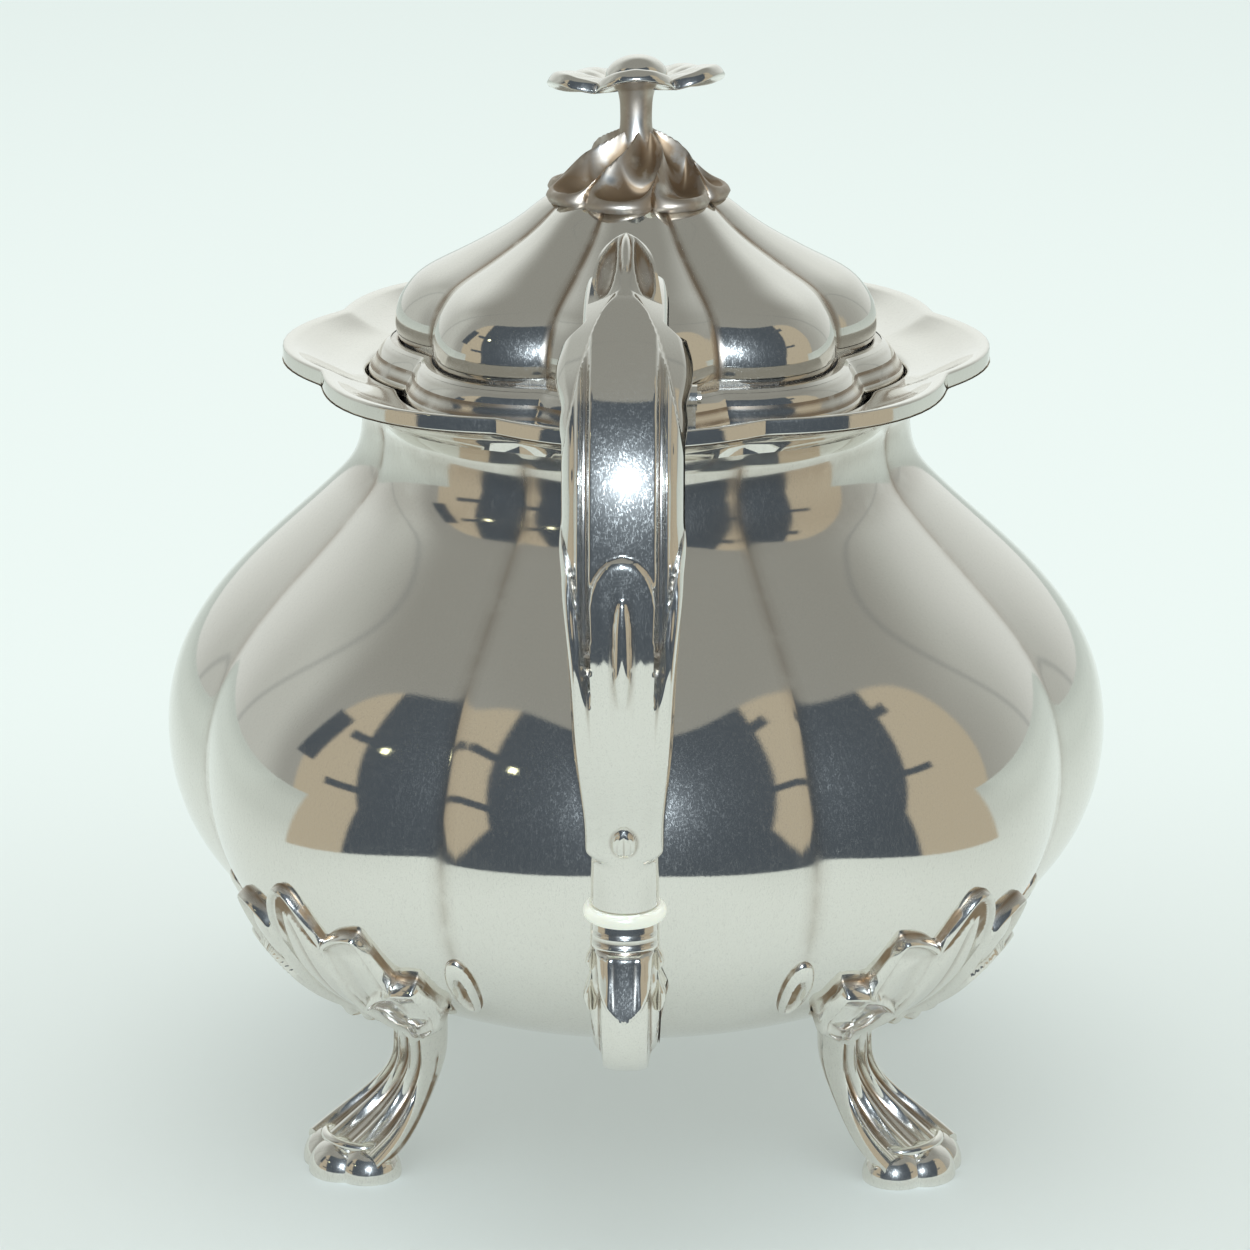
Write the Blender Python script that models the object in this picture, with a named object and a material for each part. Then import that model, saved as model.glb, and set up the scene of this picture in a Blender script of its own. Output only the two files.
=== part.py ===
"""Lobed silver teapot on four cast feet, with a hinged lid, as separate solids.

The pot stands on z = 0 with its body axis on the Z axis. The handle is on the -Y side
and the spout on the +Y side. All lengths below are in millimetres; MM turns them into
metres when a mesh is made.
"""

import math

import bmesh
import bpy

MM = 0.001
GAP = 0.3                       # space left between two neighbouring pieces

# Driving dimensions of the vessel
LOBES = 8
LOBE_STEPS = 6                  # facets across one lobe
AROUND = LOBES * LOBE_STEPS
BODY_RADIUS = 75.0
WALL = 1.1
BODY_CREASE = 0.045             # how far a crease lies inside the lobes, as a share of the radius
LID_CREASE = 0.07
RIM_CREASE = 0.07

# Heights, from the table up
BELLY_BOTTOM = 16.0
WIDEST = 62.0
NECK = 112.0
BODY_TOP = 118.0
SEAT = 119.6                    # floor of the dished rim, where the collar stands
RIM_TOP = 125.2
LID_BASE = 126.9
LID_TOP = 150.2
FINIAL_TOP = 170.2

# Radii of the mouth
NECK_RADIUS = 43.3
RIM_RADIUS = 55.2
COLLAR_RADIUS = 41.2
LID_RADIUS = 37.6
BEZEL_RADIUS = 36.2

# Hinge, between the handle and the lid
HINGE_Y = -43.6
HINGE_Z = 127.4
HINGE_RADIUS = 1.9
HINGE_PIN_RADIUS = 0.9
HINGE_RUNNING_GAP = 0.3
LID_KNUCKLE_HALF = 3.0
HINGE_HALF = 9.6

# Feet stand under the lobes at 45 degrees between handle and spout
FOOT_ANGLES = (45.0, 135.0, 225.0, 315.0)
FOOT_LEAF = 1.8

# Handle and its insulators
INSULATOR_RADIUS = 5.8
INSULATOR_THICK = 3.6
TENON_RADIUS = 2.6
TENON_LENGTH = 4.0

# Spout
SPOUT_WALL = 1.0
SPOUT_TIP_Y = 114.1
SPOUT_TIP_Z = 118.0


def remove_default_objects():
    for item in list(bpy.data.objects):
        bpy.data.objects.remove(item, do_unlink=True)


def make_object(name, points, faces):
    """One closed mesh from points in millimetres, with its faces turned outward."""
    mesh = bpy.data.meshes.new(name)
    mesh.from_pydata([(x * MM, y * MM, z * MM) for x, y, z in points], [], faces)
    work = bmesh.new()
    work.from_mesh(mesh)
    bmesh.ops.triangulate(work, faces=[face for face in work.faces if len(face.verts) > 4])
    bmesh.ops.recalc_face_normals(work, faces=work.faces)
    work.to_mesh(mesh)
    work.free()
    item = bpy.data.objects.new(name, mesh)
    bpy.context.scene.collection.objects.link(item)
    return item


def join_rings(first, second, count):
    """Faces between two rings of `count` points that start at these indices."""
    faces = []
    for step in range(count):
        following = (step + 1) % count
        faces.append((first + step, first + following, second + following, second + step))
    return faces


def closed_loft(name, rings):
    """Solid through open-ended rings; a ring of one point is a pole that closes an end."""
    points = []
    starts = []
    for ring in rings:
        starts.append(len(points))
        points.extend(ring)
    faces = []
    for (ring, start), (other, other_start) in zip(
            zip(rings, starts), zip(rings[1:], starts[1:])):
        if len(ring) == 1:
            for step in range(len(other)):
                faces.append((start, other_start + (step + 1) % len(other), other_start + step))
        elif len(other) == 1:
            for step in range(len(ring)):
                faces.append((start + step, start + (step + 1) % len(ring), other_start))
        else:
            faces.extend(join_rings(start, other_start, len(ring)))
    for ring, start in ((rings[0], starts[0]), (rings[-1], starts[-1])):
        if len(ring) > 1:
            faces.append(tuple(range(start, start + len(ring))))
    return make_object(name, points, faces)


def hollow_loft(name, rings):
    """Solid through rings whose last ring joins the first one, such as a tube wall."""
    count = len(rings[0])
    points = [point for ring in rings for point in ring]
    faces = []
    for index in range(len(rings)):
        following = (index + 1) % len(rings)
        faces.extend(join_rings(index * count, following * count, count))
    return make_object(name, points, faces)


def spline(points, steps):
    """Catmull-Rom curve through points of any dimension, `steps` samples to a span."""
    padded = [points[0]] + list(points) + [points[-1]]
    curve = []
    for before, start, end, after in zip(padded, padded[1:], padded[2:], padded[3:]):
        for step in range(steps):
            t = step / steps
            curve.append(tuple(
                0.5 * (2 * b + (c - a) * t + (2 * a - 5 * b + 4 * c - d) * t * t
                       + (3 * b - a - 3 * c + d) * t ** 3)
                for a, b, c, d in zip(before, start, end, after)))
    curve.append(tuple(points[-1]))
    return curve


def lobe_factor(angle, crease):
    """1 in the middle of a lobe, falling to 1 - crease in the fold between two lobes."""
    across = (angle * LOBES / (2 * math.pi) + 0.5) % 1.0 - 0.5
    return 1 - crease * (1 - math.cos(math.pi * across))


def body_crease(z):
    """Depth of the vessel's folds at this height: they fade out under the belly."""
    share = min(max((z - 30.0) / 16.0, 0.0), 1.0)
    return BODY_CREASE * share * share * (3 - 2 * share)


def around_axis(radius, angle, z):
    """A point at this angle from the handle side, anticlockwise seen from above."""
    return (radius * math.sin(angle), -radius * math.cos(angle), z)


def lobed_ring(radius, z, crease, count=AROUND):
    ring = []
    for step in range(count):
        angle = 2 * math.pi * step / count
        ring.append(around_axis(radius * lobe_factor(angle, crease), angle, z))
    return ring


def turned_solid(name, section, crease=0.0, count=AROUND):
    """Ring-shaped solid from a closed section of (radius, z) corners."""
    return hollow_loft(name, [lobed_ring(radius, z, crease, count) for radius, z in section])


def offset_profile(profile, distance):
    """The profile moved inward by `distance`, square to its own direction."""
    moved = []
    for index, (radius, z) in enumerate(profile):
        ahead = profile[min(index + 1, len(profile) - 1)]
        behind = profile[max(index - 1, 0)]
        run = (ahead[0] - behind[0], ahead[1] - behind[1])
        length = math.hypot(*run)
        moved.append((radius - distance * run[1] / length, z + distance * run[0] / length))
    return moved


def body_profile():
    """Outside of the vessel as (radius, z), from the middle of its base to its rim."""
    return spline([
        (6.0, BELLY_BOTTOM),
        (22.0, BELLY_BOTTOM + 2.0),
        (40.0, BELLY_BOTTOM + 8.2),
        (58.7, 33.5),
        (70.0, 44.0),
        (BODY_RADIUS, WIDEST),
        (73.0, 74.0),
        (62.0, 89.5),
        (47.8, 103.0),
        (43.6, 109.0),
        (NECK_RADIUS, NECK),
        (46.0, BODY_TOP),
    ], 2)


PROFILE = body_profile()


def body_radius(z):
    """Lobe radius of the vessel's outside at this height."""
    for (low_radius, low), (high_radius, high) in zip(PROFILE, PROFILE[1:]):
        if low <= z <= high and high > low:
            share = (z - low) / (high - low)
            return low_radius + share * (high_radius - low_radius)
    return PROFILE[0][0]


def on_body(angle, z, lift):
    """A point `lift` outside the vessel's surface, square to it."""
    slope = (body_radius(z + 0.5) - body_radius(z - 0.5))
    length = math.hypot(1.0, slope)
    radius = body_radius(z) * lobe_factor(angle, body_crease(z))
    return around_axis(radius + lift / length, angle, z - lift * slope / length)


def body_y(x, z, lift):
    """How far from the X axis the vessel's surface lies at (x, z), plus `lift`."""
    angle = 0.0
    for _ in range(6):
        radius = body_radius(z) * lobe_factor(angle, body_crease(z))
        depth = math.sqrt(max(radius * radius - x * x, 1.0))
        angle = math.atan2(x, depth)
    return depth + lift


def body_shell():
    outside = PROFILE
    inside = offset_profile(PROFILE, WALL)
    inside[-1] = (outside[-1][0] - WALL, BODY_TOP)
    rings = [[(0.0, 0.0, outside[0][1])]]
    rings += [lobed_ring(radius, z, body_crease(z)) for radius, z in outside]
    rings += [lobed_ring(radius, z, body_crease(z)) for radius, z in reversed(inside)]
    rings.append([(0.0, 0.0, inside[0][1])])
    shell = closed_loft("body_shell", rings)
    pierce_strainer(shell)


def pierce_strainer(shell):
    """Rows of round holes through the wall behind the spout."""
    points = []
    faces = []
    sides = 10
    for x, z in strainer_holes():
        for y in (body_y(x, z, -WALL - 3.0), body_y(x, z, 3.0)):
            for step in range(sides):
                angle = 2 * math.pi * step / sides
                points.append((x + 1.5 * math.cos(angle), y, z + 1.5 * math.sin(angle)))
        start = len(points) - 2 * sides
        faces += join_rings(start, start + sides, sides)
        faces.append(tuple(range(start, start + sides)))
        faces.append(tuple(range(start + sides, start + 2 * sides)))
    cutter = make_object("strainer_cutter", points, faces)
    cutter.hide_render = True
    cutter.display_type = "WIRE"
    cut = shell.modifiers.new("strainer_holes", "BOOLEAN")
    cut.object = cutter
    cut.operation = "DIFFERENCE"
    cut.solver = "EXACT"


def strainer_holes():
    centre = 59.0
    holes = []
    for row, count in enumerate((2, 3, 4, 3, 2)):
        for column in range(count):
            holes.append(((column - (count - 1) / 2) * 5.0, centre + (row - 2) * 4.6))
    return holes


def rim_flange():
    """Everted rim: its underside carries on from the neck, its top is a shallow dish."""
    inner = COLLAR_RADIUS + 1.0
    turned_solid("rim_flange", [
        (44.9, BODY_TOP + GAP),
        (46.2, BODY_TOP + GAP),
        (49.4, 120.7),
        (RIM_RADIUS - 1.6, 122.0),
        (RIM_RADIUS, 122.6),
        (RIM_RADIUS, RIM_TOP - 0.5),
        (RIM_RADIUS - 0.8, RIM_TOP),
        (RIM_RADIUS - 5.2, 123.0),
        (45.0, 121.3),
        (inner, SEAT + 1.4),
        (inner, SEAT + 0.3),
        (44.0, SEAT - 0.1),
    ], RIM_CREASE)


def rim_collar():
    """Low lobed wall inside the rim, narrowing upward to the foot of the lid."""
    inner = BEZEL_RADIUS + 0.8
    turned_solid("rim_collar", [
        (inner, SEAT),
        (COLLAR_RADIUS + 0.7, SEAT),
        (COLLAR_RADIUS + 0.7, SEAT + 1.4),
        (COLLAR_RADIUS, SEAT + 2.4),
        (COLLAR_RADIUS - 1.6, LID_BASE - 0.9),
        (COLLAR_RADIUS - 2.3, LID_BASE - GAP),
        (inner, LID_BASE - GAP),
    ], LID_CREASE)


def lid_dome():
    outside = spline([
        (LID_RADIUS, LID_BASE),
        (35.6, 130.4),
        (30.7, 135.8),
        (21.6, 142.8),
        (14.0, 147.2),
        (7.0, 149.8),
        (1.9, LID_TOP),
    ], 2)
    inside = [(radius, z) for radius, z in offset_profile(outside, 0.9)]
    inside[0] = (outside[0][0] - 1.0, LID_BASE)
    inside[-1] = (outside[-1][0], LID_TOP - 0.9)
    turned_solid("lid_dome", outside + inside[::-1], LID_CREASE)


def lid_bezel():
    turned_solid("lid_bezel", [
        (BEZEL_RADIUS - 1.2, SEAT + 1.0),
        (BEZEL_RADIUS, SEAT + 1.0),
        (BEZEL_RADIUS, LID_BASE - GAP),
        (BEZEL_RADIUS - 1.2, LID_BASE - GAP),
    ], LID_CREASE)


def finial_calyx():
    """Six cupped leaves under the flower, round a hole for the stem."""
    section = [
        (2.1, LID_TOP + GAP),
        (8.0, LID_TOP + GAP),
        (15.0, LID_TOP),
        (15.5, LID_TOP + 1.0),
        (12.0, LID_TOP + 3.4),
        (7.0, LID_TOP + 5.6),
        (4.0, LID_TOP + 7.4),
        (2.1, LID_TOP + 7.8),
    ]
    count = 48
    rings = []
    for radius, z in section:
        ring = []
        for step in range(count):
            angle = 2 * math.pi * step / count
            notch = 0.22 * (radius / 15.5) ** 3 * (1 - abs(math.cos(3 * angle)))
            ring.append(around_axis(radius * (1 - notch), angle, z))
        rings.append(ring)
    hollow_loft("finial_calyx", rings)


def finial_stem():
    """Stem with the long screw that holds the finial to the lid."""
    bottom = LID_TOP - 9.7
    shoulder = LID_TOP + 8.1
    top = FINIAL_TOP - 6.8
    section = [(1.5, bottom), (1.5, shoulder), (2.6, shoulder), (2.4, shoulder + 2.0),
               (2.4, top - 1.5), (3.1, top)]
    rings = [[(0.0, 0.0, bottom)]]
    rings += [lobed_ring(radius, z, 0, 16) for radius, z in section]
    rings.append([(0.0, 0.0, top)])
    closed_loft("finial_stem", rings)


def finial_flower():
    bottom = FINIAL_TOP - 6.5
    section = [(3.5, bottom + 0.1), (9.0, bottom + 1.4), (13.6, bottom + 2.4),
               (14.3, bottom + 3.2), (13.4, bottom + 3.9), (9.0, bottom + 3.6),
               (6.0, bottom + 3.5), (5.4, bottom + 5.0), (3.2, bottom + 6.2)]
    count = 50
    rings = [[(0.0, 0.0, bottom)]]
    for radius, z in section:
        ring = []
        for step in range(count):
            angle = 2 * math.pi * step / count
            petal = 0.08 * (radius / 14.3) ** 2 * math.cos(5 * angle)
            ring.append(around_axis(radius * (1 + petal), angle, z))
        rings.append(ring)
    rings.append([(0.0, 0.0, FINIAL_TOP)])
    closed_loft("finial_flower", rings)


def finial_nut():
    """Hexagon nut under the lid, on the screw of the stem."""
    bottom = LID_TOP - 5.9
    top = LID_TOP - 2.9
    inner = []
    outer = []
    for step in range(12):
        angle = 2 * math.pi * step / 12
        inner.append((1.8 * math.cos(angle), 1.8 * math.sin(angle)))
        reach = 3.3 if step % 2 else 3.3 / math.cos(math.pi / 6)
        outer.append((reach * math.cos(angle), reach * math.sin(angle)))
    rings = [[(x, y, bottom) for x, y in inner], [(x, y, bottom) for x, y in outer],
             [(x, y, top) for x, y in outer], [(x, y, top) for x, y in inner]]
    hollow_loft("finial_nut", rings)


def finial_washer():
    bottom = LID_TOP - 2.6
    turned_solid("finial_washer", [(1.9, bottom), (4.4, bottom),
                                   (4.4, bottom + 0.8), (1.9, bottom + 0.8)], 0, 20)


def hinge_ring(x, radius, sides=20):
    ring = []
    for step in range(sides):
        angle = 2 * math.pi * step / sides
        ring.append((x, HINGE_Y + radius * math.cos(angle), HINGE_Z + radius * math.sin(angle)))
    return ring


def hinge_knuckle(name, start, end, block):
    """Barrel along X from start to end, with a rectangular block joined to its side."""
    bore = HINGE_PIN_RADIUS + HINGE_RUNNING_GAP
    barrel = hollow_loft(name, [
        hinge_ring(start, bore), hinge_ring(start, HINGE_RADIUS),
        hinge_ring(end, HINGE_RADIUS), hinge_ring(end, bore)])
    (y_low, z_low), (y_high, z_high) = block
    corners = [(y_low, z_low), (y_high, z_low), (y_high, z_high), (y_low, z_high)]
    inset = 0.2
    rings = [[(x, y, z) for y, z in corners] for x in (start + inset, end - inset)]
    plate = closed_loft(name + "_block", rings)
    bore_cutter = closed_loft(name + "_bore", [
        hinge_ring(start - 1.0, bore + 0.01), hinge_ring(end + 1.0, bore + 0.01)])
    for operation, other in (("UNION", plate), ("DIFFERENCE", bore_cutter)):
        other.hide_render = True
        other.display_type = "WIRE"
        change = barrel.modifiers.new(other.name, "BOOLEAN")
        change.object = other
        change.operation = operation
        change.solver = "EXACT"


def hinge():
    gap = HINGE_RUNNING_GAP
    foot = ((HINGE_Y - 1.6, SEAT + 2.4), (HINGE_Y + 1.2, HINGE_Z - 0.9))
    hinge_knuckle("hinge_knuckle_left", -HINGE_HALF, -LID_KNUCKLE_HALF - gap, foot)
    hinge_knuckle("hinge_knuckle_right", LID_KNUCKLE_HALF + gap, HINGE_HALF, foot)
    arm = ((HINGE_Y + 1.0, HINGE_Z - 0.3), (-LID_RADIUS - 0.45, HINGE_Z + 1.2))
    hinge_knuckle("hinge_knuckle_lid", -LID_KNUCKLE_HALF, LID_KNUCKLE_HALF, arm)
    reach = HINGE_HALF + 0.6
    closed_loft("hinge_pin", [hinge_ring(-reach, HINGE_PIN_RADIUS, 16),
                              hinge_ring(reach, HINGE_PIN_RADIUS, 16)])


def surface_patch(name, outline, base_lift, thickness):
    """Plate that follows the vessel; outline is rows of (angle, low z, high z)."""
    rows = 5
    outside = []
    inside = []
    for angle, low, high in outline:
        for row in range(rows + 1):
            share = row / rows
            z = low + share * (high - low)
            swell = math.sin(math.pi * (0.08 + 0.84 * share))
            outside.append(on_body(angle, z, base_lift + thickness * swell))
            inside.append(on_body(angle, z, base_lift))
    count = rows + 1
    columns = len(outline)
    far = len(outside)
    faces = []
    for column in range(columns - 1):
        for row in range(rows):
            a = column * count + row
            faces.append((a, a + 1, a + count + 1, a + count))
            faces.append((far + a, far + a + count, far + a + count + 1, far + a + 1))
        for a in (column * count, column * count + rows):
            faces.append((a, a + count, far + a + count, far + a))
    for row in range(rows):
        for a in (row, (columns - 1) * count + row):
            faces.append((a, a + 1, far + a + 1, far + a))
    make_object(name, outside + inside, faces)


def crease_drop(number, middle):
    """Small raised drop at the lower end of the fold at this angle."""
    outline = []
    for share in (-0.9, -0.5, 0.0, 0.5, 0.9):
        half = 5.2 * math.sqrt(1 - share * share)
        outline.append((middle + math.radians(1.9) * share, 40.5 - half, 40.5 + half))
    surface_patch("crease_drop_%d" % number, outline, 2 * GAP, 1.4)


def foot_leaf(number, middle):
    """Leaf mount: one tall tongue with two shorter ones on each side."""
    outline = []
    for offset in range(-16, 17, 2):
        away = abs(offset)
        tallest = 54.0 - 0.16 * away * away
        second = 49.4 - 0.30 * (away - 10.0) ** 2
        third = 43.0 - 0.35 * (away - 14.5) ** 2
        top = max(tallest, second, third, 36.0)
        bottom = 28.2 + 0.02 * away * away
        outline.append((middle + math.radians(offset), bottom, top))
    surface_patch("foot_leaf_%d" % number, outline, 2 * GAP, FOOT_LEAF)


def foot_leg(number, middle):
    """Curved leg with a flat pad under its toe, swept along the line through its lobe."""
    path = spline([
        (49.5, 24.0, 5.0, 4.6),
        (49.0, 18.0, 4.9, 4.8),
        (51.0, 11.0, 4.9, 5.4),
        (56.5, 5.8, 5.4, 6.0),
        (64.0, 4.2, 5.0, 6.4),
        (70.4, 5.0, 4.0, 5.2),
        (73.8, 6.0, 1.4, 2.6),
    ], 2)
    sides = 12
    rings = []
    for index, (radius, z, thick, wide) in enumerate(path):
        ahead = path[min(index + 1, len(path) - 1)]
        behind = path[max(index - 1, 0)]
        run = (ahead[0] - behind[0], ahead[1] - behind[1])
        length = math.hypot(*run)
        across = (-run[1] / length, run[0] / length)
        ring = []
        for step in range(sides):
            turn = 2 * math.pi * step / sides
            side = wide * math.cos(turn)
            out = thick * math.sin(turn)
            reach = radius + across[0] * out
            height = z + across[1] * out
            if index < 2:
                height = min(height, leg_top(reach, side, middle))
            height = max(height, 0.0)
            ring.append((reach * math.sin(middle) + side * math.cos(middle),
                         -reach * math.cos(middle) + side * math.sin(middle), height))
        rings.append(ring)
    rings[0] = [(x, y, leg_top_at(x, y)) for x, y, z in rings[0]]
    closed_loft("foot_leg_%d" % number, rings)


def leg_top_at(x, y):
    """Height just below the foot leaf over this point of the plan."""
    distance = math.hypot(x, y)
    angle = math.atan2(x, -y)
    z = BELLY_BOTTOM
    while body_radius(z) * lobe_factor(angle, body_crease(z)) < distance and z < WIDEST:
        z += 0.1
    return z - FOOT_LEAF - 5 * GAP


def leg_top(reach, side, middle):
    x = reach * math.sin(middle) + side * math.cos(middle)
    y = -reach * math.cos(middle) + side * math.sin(middle)
    return leg_top_at(x, y)


def swept_rings(path, sides=20):
    """Rings round a path in the YZ plane; each path point is (y, z, half width, half depth)."""
    rings = []
    for index, (y, z, wide, deep) in enumerate(path):
        ahead = path[min(index + 1, len(path) - 1)]
        behind = path[max(index - 1, 0)]
        run = (ahead[0] - behind[0], ahead[1] - behind[1])
        length = math.hypot(*run)
        across = (-run[1] / length, run[0] / length)
        ring = []
        for step in range(sides):
            turn = 2 * math.pi * step / sides
            ring.append((wide * math.cos(turn), y + across[0] * deep * math.sin(turn),
                         z + across[1] * deep * math.sin(turn)))
        rings.append(ring)
    return rings


def bored_end(path, at_start, sides=20):
    """Rings that open a blind round hole for a tenon in one end of a swept piece."""
    (y, z), (next_y, next_z) = (path[0][:2], path[1][:2]) if at_start else \
        (path[-1][:2], path[-2][:2])
    run = (next_y - y, next_z - z)
    length = math.hypot(*run)
    unit = (run[0] / length, run[1] / length)
    bore = TENON_RADIUS + GAP
    depth = TENON_LENGTH + GAP
    flip = -1 if at_start else 1
    rings = []
    for inward in (0.0, depth):
        centre = (y + unit[0] * inward, z + unit[1] * inward)
        across = (unit[1] * flip, -unit[0] * flip)
        ring = []
        for step in range(sides):
            turn = 2 * math.pi * step / sides
            ring.append((bore * math.cos(turn), centre[0] + across[0] * bore * math.sin(turn),
                         centre[1] + across[1] * bore * math.sin(turn)))
        rings.append(ring)
    rings.append([(0.0, y + unit[0] * depth, z + unit[1] * depth)])
    return rings


LOWER_RING = (-97.0, 67.5)
UPPER_RING = (-60.6, 115.6)
UPPER_RING_RUN = (0.36, -0.933)


def handle_path():
    """Centre line of the handle as (y, z, half width, half depth), from below upward."""
    half = INSULATOR_THICK / 2 + GAP
    upper = (UPPER_RING[0] - UPPER_RING_RUN[0] * half, UPPER_RING[1] - UPPER_RING_RUN[1] * half)
    return spline([
        (LOWER_RING[0], LOWER_RING[1] + half, 5.2, 4.9),
        (LOWER_RING[0] - 0.4, 76.0, 5.4, 5.0),
        (-101.0, 88.0, 6.8, 4.8),
        (-108.0, 103.0, 8.0, 4.6),
        (-113.2, 120.0, 8.6, 4.6),
        (-110.5, 137.0, 8.6, 4.6),
        (-100.0, 149.5, 8.2, 4.4),
        (-86.0, 152.6, 7.2, 4.2),
        (-74.6, 146.0, 6.0, 4.2),
        (-67.2, 132.0, 5.2, 4.4),
        (upper[0], upper[1], 5.2, 4.9),
    ], 3)


def handle_scroll():
    path = handle_path()
    rings = list(reversed(bored_end(path, True))) + swept_rings(path) + bored_end(path, False)
    closed_loft("handle_scroll", rings)


def thumb_leaf():
    """Leaf that rises from the top of the handle as a rest for the thumb."""
    path = handle_path()
    part = path[16:22]
    lifted = []
    for index, (y, z, wide, deep) in enumerate(part):
        share = index / (len(part) - 1)
        ahead = path[17 + index]
        behind = path[15 + index]
        run = (ahead[0] - behind[0], ahead[1] - behind[1])
        length = math.hypot(*run)
        lift = deep + GAP + 1.3 + 3.2 * share * share
        lifted.append((y - lift * run[1] / length, z + lift * run[0] / length,
                       6.4 - 4.6 * share ** 1.5, 1.1 - 0.3 * share))
    closed_loft("thumb_leaf", swept_rings(lifted, 12))


def insulator(name, centre, run):
    """Disc between handle and socket, with a tenon that enters each of them."""
    half = INSULATOR_THICK / 2
    section = [(TENON_RADIUS, -half - TENON_LENGTH), (TENON_RADIUS, -half),
               (INSULATOR_RADIUS - 0.9, -half), (INSULATOR_RADIUS, -half + 0.9),
               (INSULATOR_RADIUS, half - 0.9), (INSULATOR_RADIUS - 0.9, half),
               (TENON_RADIUS, half), (TENON_RADIUS, half + TENON_LENGTH)]
    across = (run[1], -run[0])
    rings = []
    for radius, along in section:
        ring = []
        for step in range(20):
            turn = 2 * math.pi * step / 20
            ring.append((radius * math.cos(turn),
                         centre[0] + run[0] * along + across[0] * radius * math.sin(turn),
                         centre[1] + run[1] * along + across[1] * radius * math.sin(turn)))
        rings.append(ring)
    closed_loft(name, rings)


def socket(name, path):
    """Bored holder from the insulator to the vessel; its root follows the vessel."""
    rings = swept_rings(path)
    for back in range(1, 5):
        lift = GAP + 0.4 * (back - 1)
        rings[-back] = [(x, min(y, -body_y(x, z, lift)), z) for x, y, z in rings[-back]]
    middle = path[-1][1]
    edge = [(x, z) for x, y, z in rings.pop()]
    for share in (1.0, 0.75, 0.5, 0.25):
        rings.append([(x * share, -body_y(x * share, middle + (z - middle) * share, GAP),
                       middle + (z - middle) * share) for x, z in edge])
    rings.append([(0.0, -body_y(0.0, middle, GAP), middle)])
    closed_loft(name, list(reversed(bored_end(path, True))) + rings)


def handle_mounts():
    half = INSULATOR_THICK / 2 + GAP
    socket("lower_socket", spline([
        (LOWER_RING[0], LOWER_RING[1] - half, 5.2, 5.0),
        (LOWER_RING[0] - 0.2, 57.0, 5.6, 5.2),
        (-95.0, 47.5, 5.4, 5.0),
        (-87.0, 40.6, 4.6, 4.4),
        (-77.0, 41.0, 4.8, 4.6),
        (-69.5, 45.0, 6.0, 5.6),
    ], 3))
    run = UPPER_RING_RUN
    socket("upper_socket", spline([
        (UPPER_RING[0] + run[0] * half, UPPER_RING[1] + run[1] * half, 5.2, 4.9),
        (-57.6, 108.0, 5.2, 4.9),
        (-53.5, 102.0, 5.6, 5.2),
        (-47.0, 98.0, 7.0, 6.4),
    ], 3))
    insulator("lower_insulator", LOWER_RING, (0.0, 1.0))
    insulator("upper_insulator", UPPER_RING, run)


def spout_path():
    """Centre line of the spout as (y, z, half width, half depth), from the root outward."""
    return spline([
        (74.0, 58.5, 12.5, 15.5),
        (84.0, 64.5, 11.0, 13.0),
        (93.0, 74.0, 8.6, 9.6),
        (99.0, 86.5, 6.9, 7.4),
        (102.4, 99.5, 6.0, 6.2),
        (SPOUT_TIP_Y - 7.0, SPOUT_TIP_Z - 8.5, 5.6, 5.6),
        (SPOUT_TIP_Y - 2.6, SPOUT_TIP_Z - 2.6, 5.5, 5.2),
    ], 3)


def root_ring(wide, deep, z_middle, lift, sides=24):
    ring = []
    for step in range(sides):
        turn = 2 * math.pi * step / sides
        x = wide * math.cos(turn)
        z = z_middle + deep * math.sin(turn)
        ring.append((x, body_y(x, z, lift), z))
    return ring


def spout():
    path = spout_path()
    inner_path = [(y, z, wide - SPOUT_WALL, deep - SPOUT_WALL) for y, z, wide, deep in path]
    outside = swept_rings(path, 24)[2:]
    inside = swept_rings(inner_path, 24)[2:]
    middle = 59.0
    for rings in (outside, inside):
        for index in range(4):
            lift = 0.8 + 0.4 * index
            rings[index] = [(x, max(y, body_y(x, z, lift)), z) for x, y, z in rings[index]]
    outside.insert(0, root_ring(13.0, 15.6, middle, GAP))
    inside.insert(0, root_ring(12.0, 14.6, middle, GAP))
    hollow_loft("spout", outside + inside[::-1])


def spout_root_leaf():
    """Raised border on the vessel round the root of the spout."""
    middle = 59.0
    rings = [root_ring(13.9, 16.6, middle, 2 * GAP), root_ring(17.2, 20.6, middle, 2 * GAP),
             root_ring(16.6, 19.8, middle, 1.4), root_ring(14.4, 17.2, middle, 1.6)]
    hollow_loft("spout_root_leaf", rings)


def spout_lip():
    """Turned-out lip at the mouth of the spout."""
    path = spout_path()
    (y, z, wide, deep), (last_y, last_z) = path[-1], path[-2][:2]
    run = (y - last_y, z - last_z)
    length = math.hypot(*run)
    unit = (run[0] / length, run[1] / length)
    rings = []
    for along, wider in ((0.3, 0.9), (1.8, 1.1), (3.2, 1.5), (3.2, 0.1), (1.8, 0.0), (0.3, 0.0)):
        centre = (y + unit[0] * along, z + unit[1] * along)
        ring = []
        for step in range(24):
            turn = 2 * math.pi * step / 24
            out = (deep - SPOUT_WALL + wider) * math.sin(turn)
            ring.append(((wide - SPOUT_WALL + wider) * math.cos(turn),
                         centre[0] - unit[1] * out, centre[1] + unit[0] * out))
        rings.append(ring)
    hollow_loft("spout_lip", rings)


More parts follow.
